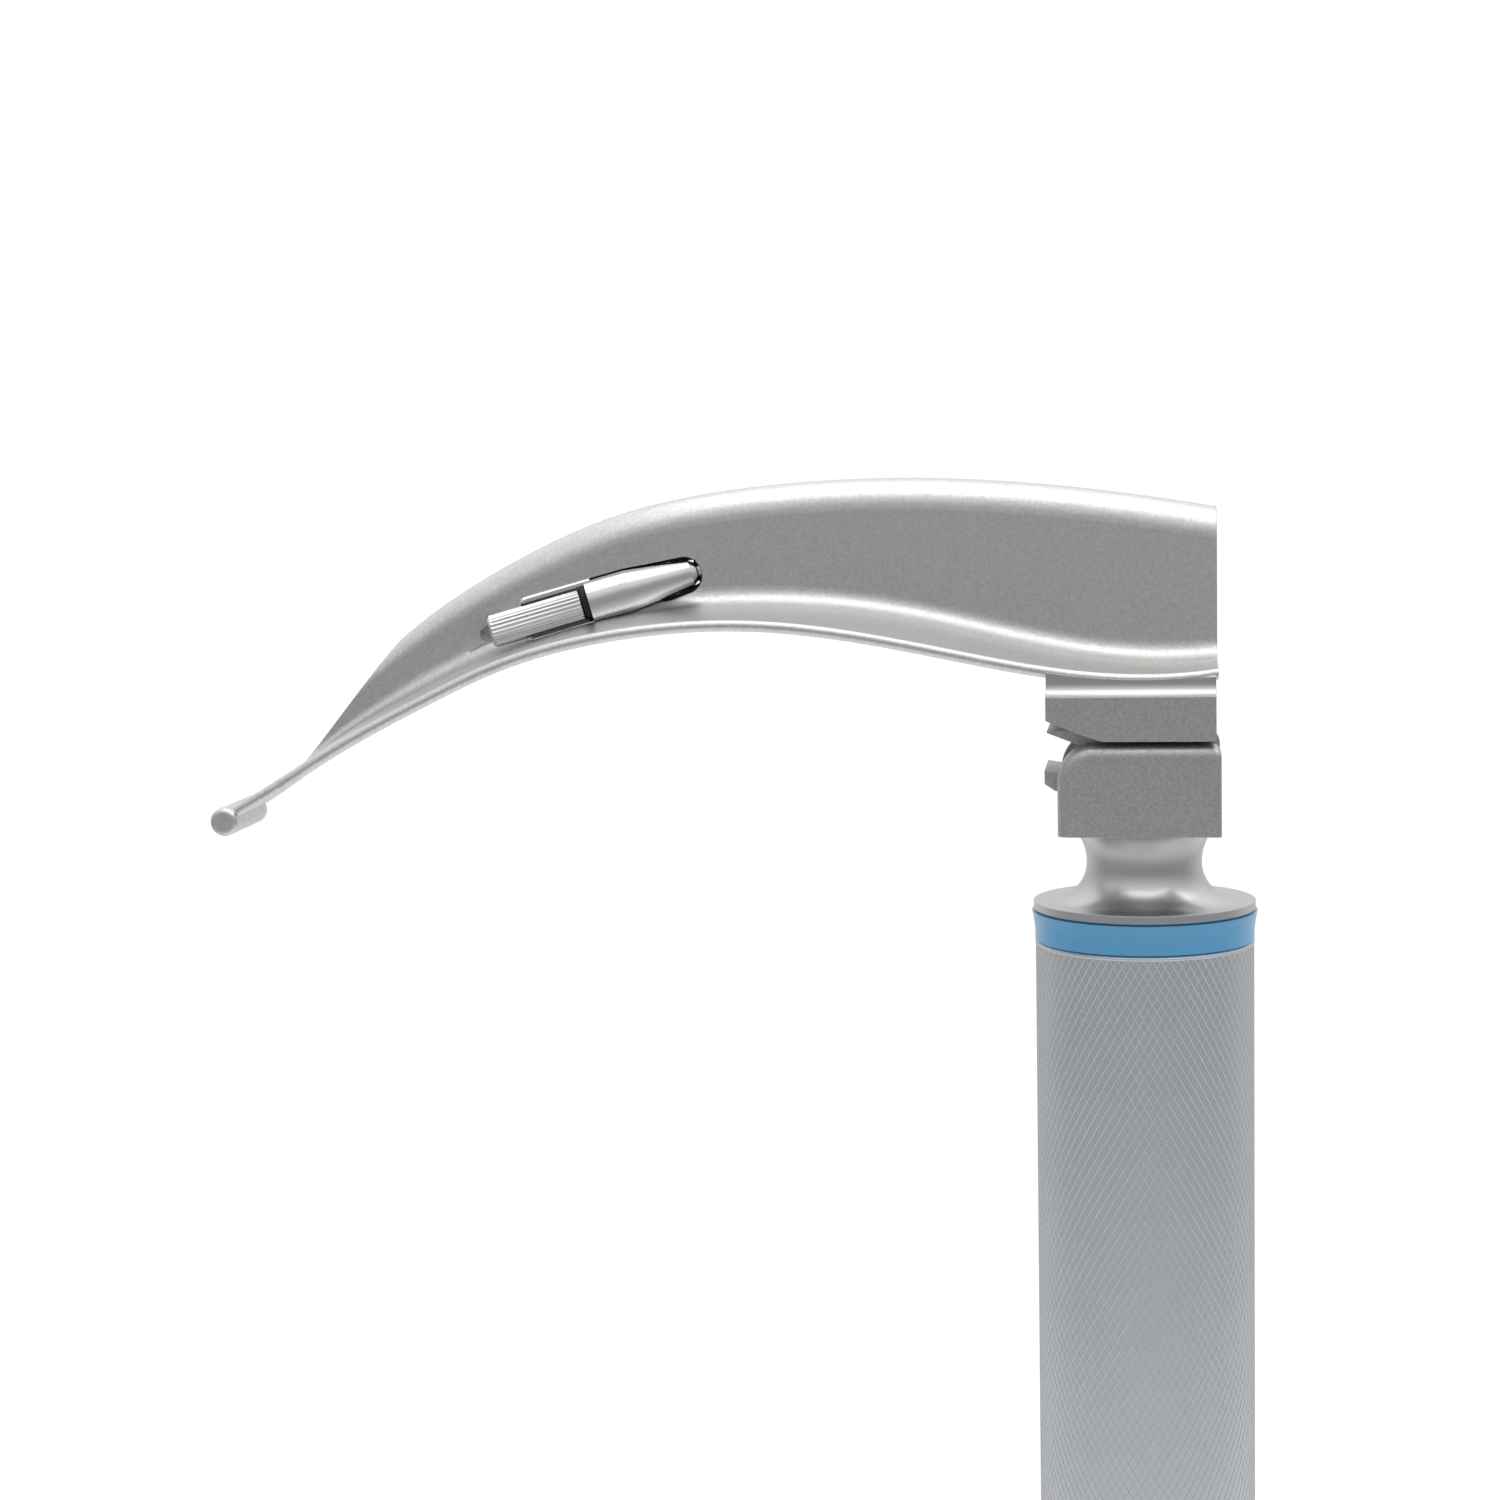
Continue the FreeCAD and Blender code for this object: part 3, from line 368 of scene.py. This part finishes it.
def bright_steel(name, base, rough=0.14):
    """Polished steel with hairline marks."""
    made = Finish(name, base, Metallic=1.0)
    marks = made.noise(1.0, 3.0, made.stretched((900.0, 5200.0, 5200.0)))
    worn, soft = made.edges(0.06 * MM)
    made.tint(marks * 0.5, 0.88)
    made.feed("Roughness", rough + marks * 0.08 - worn * 0.04)
    made.bump(marks, 0.002 * MM, 0.5, soft)
    return made


def drawn_wire(name, base, blued):
    """Drawn wire with slightly blued patches."""
    made = Finish(name, base, Metallic=1.0)
    cloudy = made.noise(450.0, 3.0)
    fine = made.noise(5200.0, 2.0)
    made.feed("Base Color", made.mixed(cloudy, base, blued))
    made.feed("Roughness", 0.24 + cloudy * 0.14)
    made.bump(fine, 0.003 * MM, 0.5)
    return made


def anodised(name, base):
    """Smooth dyed aluminium under a clear skin, with lathe lines round it."""
    made = Finish(name, base, Metallic=0.0, Coat_Roughness=0.12, IOR=1.55)
    lathe = made.noise(1.0, 2.0, made.stretched((60.0, 60.0, 6500.0)))
    cloudy = made.noise(180.0, 2.0)
    worn, soft = made.edges(0.1 * MM)
    paler = tuple(min(1.0, part * 1.25 + 0.02) for part in base)
    made.feed("Base Color", made.mixed(cloudy * 0.5 + worn * 0.4, base, paler))
    made.feed("Roughness", 0.30 + lathe * 0.10)
    made.feed("Coat Weight", 0.35 + cloudy * 0.2)
    made.bump(lathe, 0.003 * MM, 0.5, soft)
    return made


def turned_brass(name, base, tarnish):
    """Turned brass with tool lines and a little tarnish."""
    made = Finish(name, base, Metallic=1.0)
    lines = made.noise(1.0, 2.0, made.stretched((300.0, 300.0, 7000.0)))
    cloudy = made.noise(380.0, 4.0)
    made.feed("Base Color", made.mixed(made.between(cloudy, 0.45, 0.75, 0.0, 0.7),
                                       base, tarnish))
    made.feed("Roughness", 0.2 + lines * 0.1 + cloudy * 0.12)
    made.bump(lines, 0.004 * MM, 0.6)
    return made


def rubber(name, base, bloom):
    """Moulded rubber, matt with a dusty bloom."""
    made = Finish(name, base, Specular_IOR_Level=0.4)
    dust = made.noise(900.0, 4.0)
    fine = made.noise(6000.0, 2.0)
    made.feed("Base Color", made.mixed(made.between(dust, 0.5, 0.8, 0.0, 0.6),
                                       base, bloom))
    made.feed("Roughness", 0.5 + dust * 0.2)
    made.bump(fine, 0.006 * MM, 0.7)
    return made


def moulded(name, base, rough=0.42):
    """Moulded plastic with a fine skin and slight mottling."""
    made = Finish(name, base, IOR=1.5, Coat_Roughness=0.3)
    skin = made.noise(4800.0, 2.0)
    cloudy = made.noise(300.0, 3.0)
    made.tint(cloudy, 0.86)
    made.feed("Roughness", rough - 0.05 + cloudy * 0.12)
    made.bump(skin, 0.004 * MM, 0.6)
    return made


def cell_print(name, colours, low, high):
    """Printed wrap: a dark field with a coloured band at each cell's raised terminal."""
    band_from, line_at, line_half = 0.72, 0.7, 0.01
    base = colours.wrap
    made = Finish(name, base, IOR=1.5, Coat_Roughness=0.15)
    height = made.node("SeparateXYZ", None, {0: made.place}, out="Z")
    along = made.between(height, low, high, 0.0, 1.0)
    on_line = made.node("Math", {"operation": "COMPARE"}, {0: along, 1: line_at, 2: line_half})
    field = made.mixed(along > band_from, base, colours.band)
    made.feed("Base Color", made.mixed(on_line, field, colours.line))
    scuff = made.noise(700.0, 4.0)
    made.feed("Roughness", 0.22 + scuff * 0.2)
    made.feed("Coat Weight", 0.3 + scuff * 0.2)
    made.bump(scuff, 0.01 * MM, 0.3)
    return made


def clear_glass(name, base):
    """Lamp glass, faintly smoked by use."""
    made = Finish(name, base, Transmission_Weight=1.0, IOR=1.5)
    smoke = made.noise(500.0, 3.0)
    made.tint(smoke, 0.85)
    made.feed("Roughness", 0.01 + smoke * 0.04)
    return made


def show(finish, *nodes):
    """Give CAD nodes their finish through their objects' material slots."""
    for name in nodes:
        for place in frame["nodes"][name].material_slots:
            place.material = finish.material


# ---- Shapes

def lay_on_lamp(bm):
    """Carry a shape made upright on the origin to the lamp's axis, its origin to the mouth."""
    joint = next(item for item in frame["joints"] if item["name"] == "lamp_turn")
    turn = UP.rotation_difference(-Vector(joint["axis"])).to_matrix().to_4x4()
    matrix = Matrix.Translation(joint["pos_m"]) @ turn
    bmesh.ops.transform(bm, matrix=matrix, verts=bm.verts)


def new_piece(name, body, bm, finish, slot, *replaced, sharp=35.0):
    """Close a bmesh into a piece that rides on a body and stands for CAD nodes."""
    bmesh.ops.remove_doubles(bm, verts=bm.verts, dist=WELD)
    bmesh.ops.recalc_face_normals(bm, faces=bm.faces)
    mesh = bpy.data.meshes.new(name)
    bm.to_mesh(mesh)
    bm.free()
    mesh.materials.append(finish.material)
    mesh.shade_smooth()
    mesh.set_sharp_from_angle(angle=math.radians(sharp))
    piece = bpy.data.objects.new(name, mesh)
    bpy.context.scene.collection.objects.link(piece)
    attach(piece, body)
    if replaced:
        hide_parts(*replaced)
    return piece


def drawn_out(bm, rim, profile):
    """Extrude a round rim of edges through (radius, height) points; returns the last rim."""
    for radius, height in profile:
        made = bmesh.ops.extrude_edge_only(bm, edges=rim)["geom"]
        rim = [item for item in made if isinstance(item, bmesh.types.BMEdge)]
        for item in made:
            if isinstance(item, bmesh.types.BMVert):
                out = Vector((item.co.x, item.co.y, 0.0)).normalized() * radius
                item.co = (out.x, out.y, height)
    return rim


def rim_at(bm, height):
    """Open edges at one height."""
    return [edge for edge in bm.edges if edge.is_boundary
            and all(abs(vert.co.z - height) < NEAR for vert in edge.verts)]


def fluted(bm, radius, z0, z1, count, depth):
    """Pull a wall in along upright grooves between two heights."""
    for vert in bm.verts:
        flat = vert.co.xy
        on_wall = abs(flat.length - radius) < NEAR
        if on_wall and z0 - NEAR < vert.co.z < z1 + NEAR:
            wave = 0.5 + 0.5 * math.cos(count * math.atan2(flat.y, flat.x))
            flat = flat.normalized() * (radius - depth * wave ** 2)
            vert.co = (flat.x, flat.y, vert.co.z)


def knurled_wall(bm, radius, z0, z1, sizes):
    """Open tube wall of knurl diamonds between two heights."""
    steps = 2 * sizes.knurl_round
    rows = 2 * max(1, round((z1 - z0) / sizes.knurl_pitch))
    row_h = (z1 - z0) / rows
    groove_r = radius - sizes.knurl_depth
    line = [bm.verts.new((groove_r, 0.0, z0 + row_h * row)) for row in range(rows + 1)]
    geom = line + [bm.edges.new(pair) for pair in zip(line, line[1:])]
    bmesh.ops.spin(bm, geom=geom, cent=(0, 0, 0), axis=UP, angle=2 * PI, steps=steps,
                   use_merge=True)

    def row_of(vert):
        return round((vert.co.z - z0) / row_h)

    def crossing(vert):
        """Grooves cross at every other vertex."""
        turn = round(math.atan2(vert.co.y, vert.co.x) / (2 * PI) * steps)
        return (turn + row_of(vert)) % 2 == 0

    for face in list(bm.faces):
        corners = [vert for vert in face.verts if crossing(vert)]
        bmesh.utils.face_split(face, *corners)
    tops = [vert for vert in bm.verts if not crossing(vert)]
    inside = [vert for vert in tops if 0 < row_of(vert) < rows]
    half = [edge for vert in tops if row_of(vert) in (0, rows)
            for edge in vert.link_edges if not edge.is_boundary]
    bmesh.ops.dissolve_verts(bm, verts=inside)
    bmesh.ops.dissolve_edges(bm, edges=half, use_verts=False)
    bmesh.ops.inset_individual(bm, faces=list(bm.faces), thickness=sizes.groove_half,
                               depth=sizes.knurl_depth, use_even_offset=True)


# ---- Operators

class BatteryTube(bpy.types.Operator):
    """Knurled battery tube"""
    bl_idname = "laryngoscope.battery_tube"
    bl_label = "Battery tube"

    def execute(self, context):
        sizes = context.scene.handle_sizes
        low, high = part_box("battery_tube")
        radius, z0, z1 = high.x, low.z, high.z
        bore = radius - sizes.tube_wall
        thread_r = radius - sizes.thread_wall
        thread_z = z0 + sizes.thread_h
        knurl_z0 = z0 + sizes.land
        knurl_z1 = z1 - sizes.chamfer - sizes.land
        land = 0.5 * sizes.land
        bm = bmesh.new()
        knurled_wall(bm, radius, knurl_z0, knurl_z1, sizes)
        drawn_out(bm, rim_at(bm, knurl_z1),
                  [(radius, knurl_z1 + land), (radius, z1 - sizes.chamfer),
                   (radius - sizes.chamfer, z1), (bore, z1)])
        drawn_out(bm, rim_at(bm, knurl_z0),
                  [(radius, knurl_z0 - land), (radius, z0), (thread_r, z0), (thread_r, thread_z),
                   (bore, thread_z), (bore, z1)])
        finish = knurl_steel("knurled_steel", context.scene.finish_colours.tube)
        new_piece("battery_tube_knurled", "handle", bm, finish, "knurled_steel",
                  "battery_tube", sharp=20.0)
        return {"FINISHED"}


class BaseCap(bpy.types.Operator):
    """Base cap with its contact disc, and the finishes of the seals and springs"""
    bl_idname = "laryngoscope.base_cap"
    bl_label = "Base cap"

    def execute(self, context):
        colours = context.scene.finish_colours
        show(rubber("seal_rubber", colours.rubber, colours.bloom), "cap_ring", "bulb_seal")
        show(turned_brass("disc_brass", colours.brass, colours.tarnish), "cap_contact_disc")
        show(drawn_wire("spring_wire", colours.spring, colours.blued), "cell_spring",
             "plunger_spring", "detent_spring")
        self.cap(context.scene.handle_sizes, knurl_steel("cap_steel", colours.tube))
        return {"FINISHED"}

    def cap(self, sizes, finish):
        """Cup with a ridged rim, a seal groove and a threaded spigot, slotted for a coin."""
        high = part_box("base_cap")[1]
        seal_low, seal_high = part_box("cap_ring")
        radius, edge, top = high.x, sizes.cap_edge, high.z
        ridge_z0 = edge + sizes.flute_run
        rim_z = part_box("battery_tube")[0].z
        ridge_z1 = rim_z - 2 * sizes.flute_run
        gap = seal_low.z - rim_z
        spigot_r = seal_high.x - gap
        groove_r = spigot_r - (seal_high.z - seal_low.z)
        groove_z = seal_high.z + gap
        cup_r = spigot_r - sizes.cap_wall
        floor_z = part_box("cap_contact_disc")[0].z
        half_pitch = 0.5 * sizes.cap_pitch
        thread = []
        for turn in range(int((top - groove_z) / sizes.cap_pitch)):
            crest = groove_z + half_pitch + turn * sizes.cap_pitch
            thread += [(spigot_r, crest), (spigot_r - sizes.thread_depth, crest + half_pitch)]
        bm = bmesh.new()
        bmesh.ops.create_circle(bm, segments=STEPS_PER_GROOVE * sizes.cap_ridges,
                                radius=radius - edge)
        foot = list(bm.edges)
        rounding = [(radius - edge + edge * math.sin(turn), edge - edge * math.cos(turn))
                    for turn in (PI / 6, PI / 3, PI / 2)]
        inner = drawn_out(bm, foot, [
            *rounding, (radius, ridge_z0), (radius, ridge_z1), (radius, rim_z - sizes.flute_run),
            (radius - sizes.flute_run, rim_z), (groove_r, rim_z), (groove_r, groove_z),
            (spigot_r - sizes.thread_depth, groove_z), *thread, (spigot_r, top), (cup_r, top),
            (cup_r, floor_z)])
        bmesh.ops.contextual_create(bm, geom=inner)
        corners = [bm.verts.new((x * sizes.coin_slot_l, y * sizes.coin_slot_w, 0))
                   for x, y in ((-0.5, -0.5), (0.5, -0.5), (0.5, 0.5), (-0.5, 0.5))]
        slot = [bm.edges.new((corner, corners[index - 1])) for index, corner in enumerate(corners)]
        bmesh.ops.triangle_fill(bm, edges=foot + slot, use_beauty=True)
        made = bmesh.ops.extrude_edge_only(bm, edges=slot)["geom"]
        deep = [item for item in made if isinstance(item, bmesh.types.BMVert)]
        bmesh.ops.translate(bm, verts=deep, vec=(0, 0, sizes.coin_slot_h))
        bmesh.ops.contextual_create(bm, geom=deep)
        fluted(bm, radius, ridge_z0, ridge_z1, sizes.cap_ridges, sizes.cap_ridge_depth)
        new_piece("base_cap_ridged", "cap", bm, finish, "satin_steel", "base_cap")


class Head(bpy.types.Operator):
    """Forked head, hinge pin and colour ring"""
    bl_idname = "laryngoscope.head"
    bl_label = "Head and ring"

    def execute(self, context):
        colours = context.scene.finish_colours
        sizes = context.scene.handle_sizes
        show(blasted_steel("head_steel", colours.head, sizes.neck_top + sizes.polish_before,
                           sizes.neck_top - sizes.polish_past), "handle_head")
        show(bright_steel("pin_steel", colours.bright), "hinge_pin", "detent_ball_near",
             "detent_ball_far")
        show(anodised("ring_blue", colours.ring), "colour_ring")
        return {"FINISHED"}


class Cells(bpy.types.Operator):
    """Two dry cells"""
    bl_idname = "laryngoscope.cells"
    bl_label = "Cells"

    def execute(self, context):
        colours = context.scene.finish_colours
        metal = bright_steel("cell_metal", colours.bright, 0.24)
        for number in (1, 2):
            cell = "cell_%d_" % number
            low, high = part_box(cell + "wrap")
            show(cell_print("wrap_%d" % number, colours, low.z, high.z), cell + "wrap")
            show(metal, cell + "base", cell + "terminal", cell + "can")
        return {"FINISHED"}


class Contacts(bpy.types.Operator):
    """Sprung centre contact, the lamp's contacts, their bushes and the wire"""
    bl_idname = "laryngoscope.contacts"
    bl_label = "Contacts"

    def execute(self, context):
        colours = context.scene.finish_colours
        show(turned_brass("contact_brass", colours.brass, colours.tarnish), "contact_plunger",
             "contact_stud", "lower_contact", "bush_nut", "access_plug", "socket_contact",
             "bulb_shank")
        show(moulded("bush_ivory", colours.ivory), "contact_bush", "stud_bush")
        show(moulded("insulator_black", colours.rubber), "socket_insulator", "bulb_bead")
        show(moulded("wire_cover", colours.ivory, 0.5), "lamp_wire")
        return {"FINISHED"}


class Blade(bpy.types.Operator):
    """Curved blade, its heel and the wire's conduit"""
    bl_idname = "laryngoscope.blade"
    bl_label = "Blade"

    def execute(self, context):
        colours = context.scene.finish_colours
        sizes = context.scene.handle_sizes
        show(satin_steel("blade_satin", colours.blade), "blade_shell", "wire_conduit")
        # Painted light: the heel's upward-facing round above its polish height is paler as well as
        # smoother.
        show(blasted_steel("heel_steel", colours.head, sizes.heel_polished_lit_top - sizes.polish_before,
                           sizes.heel_polished_lit_top + sizes.polish_past), "heel_block")
        return {"FINISHED"}


class Lamp(bpy.types.Operator):
    """Screw-in lamp, its socket and a near-black ring of painted shade in the gap round the socket
    """
    bl_idname = "laryngoscope.lamp"
    bl_label = "Lamp"

    def execute(self, context):
        colours = context.scene.finish_colours
        sizes = context.scene.lamp_sizes
        bright = bright_steel("lamp_steel", colours.bright)
        show(bright, "lamp_socket")
        show(clear_glass("lamp_glass", colours.glass), "bulb_glass")
        show(drawn_wire("filament_wire", colours.filament, colours.blued), "bulb_filament")
        show(bright_steel("solder", colours.solder, 0.3), "bulb_tip")
        self.sleeve(sizes, bright)
        # Painted shade: a near-black ring stands in for the shade in the gap round the socket.
        self.painted_shade(sizes, moulded("painted_shade_black", colours.rubber, 0.6))
        return {"FINISHED"}

    def painted_shade(self, sizes, finish):
        """Near-black ring of painted shade in the narrow gap between the socket and its window in
        the web.
        """
        wide, end = sizes.painted_shade, sizes.socket_length
        mouth_r, rear_r, bend = sizes.socket_r, sizes.socket_rear_r, sizes.socket_straight
        bm = bmesh.new()
        bmesh.ops.create_circle(bm, segments=ROUND, radius=mouth_r)
        bmesh.ops.translate(bm, verts=bm.verts, vec=(0, 0, wide))
        drawn_out(bm, list(bm.edges), [
            (mouth_r + wide, wide), (mouth_r + wide, bend), (rear_r + wide, end + wide),
            (0.5 * wide, end + wide), (0.5 * wide, end), (rear_r, end), (mouth_r, bend),
            (mouth_r, wide)])
        lay_on_lamp(bm)
        for side in (-1, 1):
            cut = bmesh.ops.bisect_plane(bm, geom=[*bm.verts, *bm.edges, *bm.faces],
                                         plane_co=(0, sizes.painted_shade_y + 0.5 * side * wide, 0),
                                         plane_no=(0, side, 0), clear_outer=True)["geom_cut"]
            rim = [item for item in cut if isinstance(item, bmesh.types.BMEdge)]
            bmesh.ops.triangle_fill(bm, edges=rim, use_beauty=True)
        new_piece("socket_painted_shade", "blade", bm, finish, "solder")

    def sleeve(self, sizes, finish):
        """Sleeve with grip flutes, made upright and then laid on the lamp's axis."""
        radius, edge = sizes.sleeve_r, sizes.sleeve_edge
        bore, shank = sizes.sleeve_bore, sizes.shank_bore
        z1 = -sizes.seal_h
        z0 = z1 - sizes.sleeve_length
        low, high = z0 + edge, z1 - edge
        flute_z0, flute_z1 = low + sizes.flute_run, high - sizes.flute_run
        bm = bmesh.new()
        bmesh.ops.create_circle(bm, segments=STEPS_PER_GROOVE * sizes.flutes, radius=radius)
        bmesh.ops.translate(bm, verts=bm.verts, vec=(0, 0, low))
        drawn_out(bm, list(bm.edges), [(radius - edge, z0), (bore, z0), (bore, z1 - sizes.shank_h),
                                       (shank, z1 - sizes.shank_h), (shank, z1),
                                       (radius - edge, z1), (radius, high), (radius, flute_z1),
                                       (radius, flute_z0), (radius, low)])
        fluted(bm, radius, flute_z0, flute_z1, sizes.flutes, sizes.flute_depth)
        lay_on_lamp(bm)
        new_piece("bulb_sleeve_fluted", "lamp", bm, finish, "bright_steel", "bulb_sleeve")


class Stage(bpy.types.Operator):
    """Floor, room, camera and overhead light"""
    bl_idname = "laryngoscope.stage"
    bl_label = "Stage"

    def execute(self, context):
        studio = context.scene.studio
        self.floor(studio)
        self.room(context.scene, studio)
        self.camera(context.scene, studio)
        self.overhead(context.scene, studio)
        return {"FINISHED"}

    def floor(self, studio):
        """Pale floor that fades out round the object."""
        bm = bmesh.new()
        bmesh.ops.create_circle(bm, cap_ends=True, segments=ROUND, radius=studio.floor_r)
        bmesh.ops.translate(bm, verts=bm.verts, vec=(0, 0, -studio.floor_drop))
        mesh = bpy.data.meshes.new("floor")
        bm.to_mesh(mesh)
        bm.free()
        finish = Finish("floor_paint", studio.floor, Roughness=0.9, Specular_IOR_Level=0.1)
        cloudy = finish.noise(2.0, 2.0)
        finish.tint(cloudy, 0.985)
        far = finish.node("VectorMath", {"operation": "LENGTH"}, {0: finish.place}, out="Value")
        finish.feed("Alpha", finish.between(far, studio.fade_from, studio.fade_to, 1.0, 0.0))
        mesh.materials.append(finish.material)
        floor = bpy.data.objects.new("floor", mesh)
        bpy.context.scene.collection.objects.link(floor)

    def room(self, scene, studio):
        """Pale room, brighter above and behind the object and dimmer in front of it."""
        scene.world = bpy.data.worlds.new("room")
        scene.world.use_nodes = True
        nodes = Nodes(scene.world.node_tree)
        toward = nodes.node("TexCoord", out="Generated")

        def lit(direction, low, high, gain):
            """Soft patch of light round a direction, between two cosines from it."""
            facing = nodes.node("VectorMath", {"operation": "DOT_PRODUCT"},
                                {0: toward, 1: tuple(Vector(direction).normalized())}, out="Value")
            return nodes.node("MapRange", {"interpolation_type": "SMOOTHSTEP"},
                              {"Value": facing, "From Min": low, "From Max": high,
                               "To Min": 0.0, "To Max": gain})

        behind, before = (0, 1, 0), (0.13, -0.96, -0.22)
        level = (lit(UP, 0.05, 0.75, studio.sky) + lit(behind, -0.1, 0.8, studio.back)
                 - lit(before, 0.3, 0.97, studio.front) + studio.sides)
        seen = nodes.node("LightPath", out="Is Camera Ray")
        strength = level * (1.0 - seen) + seen * studio.backdrop
        ground = nodes.node("Background", None, {0: (1.0, 1.0, 1.0, 1.0), 1: strength})
        made = nodes.tree.nodes.new("ShaderNodeOutputWorld")
        nodes.tree.links.new(ground.socket, made.inputs[0])

    def camera(self, scene, studio):
        """Camera turned by yaw and pitch, then rolled about its own axis."""
        yaw, pitch, roll = studio.yaw, studio.pitch, studio.roll
        view = bpy.data.cameras.new("camera")
        view.lens = studio.lens
        view.sensor_width = studio.sensor
        view.clip_start = 0.01
        ahead = Vector((-math.sin(yaw) * math.cos(pitch), math.cos(yaw) * math.cos(pitch),
                        -math.sin(pitch)))
        across = Vector((math.cos(yaw), math.sin(yaw), 0.0))
        above = across.cross(ahead)
        right = math.cos(roll) * across + math.sin(roll) * above
        top = math.cos(roll) * above - math.sin(roll) * across
        turn = Matrix((right, top, -ahead)).transposed().to_4x4()
        camera = bpy.data.objects.new("camera", view)
        camera.matrix_world = Matrix.Translation(studio.camera_place) @ turn
        scene.collection.objects.link(camera)
        scene.camera = camera
        scene.view_settings.view_transform = "Standard"

    def overhead(self, scene, studio):
        """Wide soft light over the object."""
        lamp = bpy.data.lights.new("overhead_light", "AREA")
        lamp.shape = "RECTANGLE"
        lamp.size = studio.overhead_wide
        lamp.size_y = studio.overhead_deep
        lamp.energy = studio.overhead
        light = bpy.data.objects.new("overhead_light", lamp)
        light.location = studio.overhead_place
        light.visible_camera = False
        scene.collection.objects.link(light)


PIECES = (BatteryTube, BaseCap, Head, Cells, Contacts, Blade, Lamp, Stage)


class LaryngoscopePanel(bpy.types.Panel):
    """Lists the pieces and their sizes"""
    bl_idname = "VIEW3D_PT_laryngoscope"
    bl_label = "Laryngoscope"
    bl_space_type = "VIEW_3D"
    bl_region_type = "UI"
    bl_category = "Laryngoscope"

    def draw(self, context):
        for group in ("handle_sizes", "lamp_sizes", "finish_colours", "studio"):
            owner = getattr(context.scene, group)
            box = self.layout.box()
            for key in owner.__annotations__:
                box.prop(owner, key)
        for piece in PIECES:
            self.layout.operator(piece.bl_idname)


GROUPS = {"handle_sizes": HandleSizes, "lamp_sizes": LampSizes, "finish_colours": Colours,
          "studio": Studio}
CLASSES = (*GROUPS.values(), *PIECES, LaryngoscopePanel)


def register():
    for item in CLASSES:
        bpy.utils.register_class(item)
    for key, group in GROUPS.items():
        setattr(bpy.types.Scene, key, PointerProperty(type=group))


def unregister():
    for key in GROUPS:
        delattr(bpy.types.Scene, key)
    for item in reversed(CLASSES):
        bpy.utils.unregister_class(item)


def main():
    register()
    for piece in PIECES:
        area, name = piece.bl_idname.split(".")
        getattr(getattr(bpy.ops, area), name)()


if __name__ == "__main__":
    main()
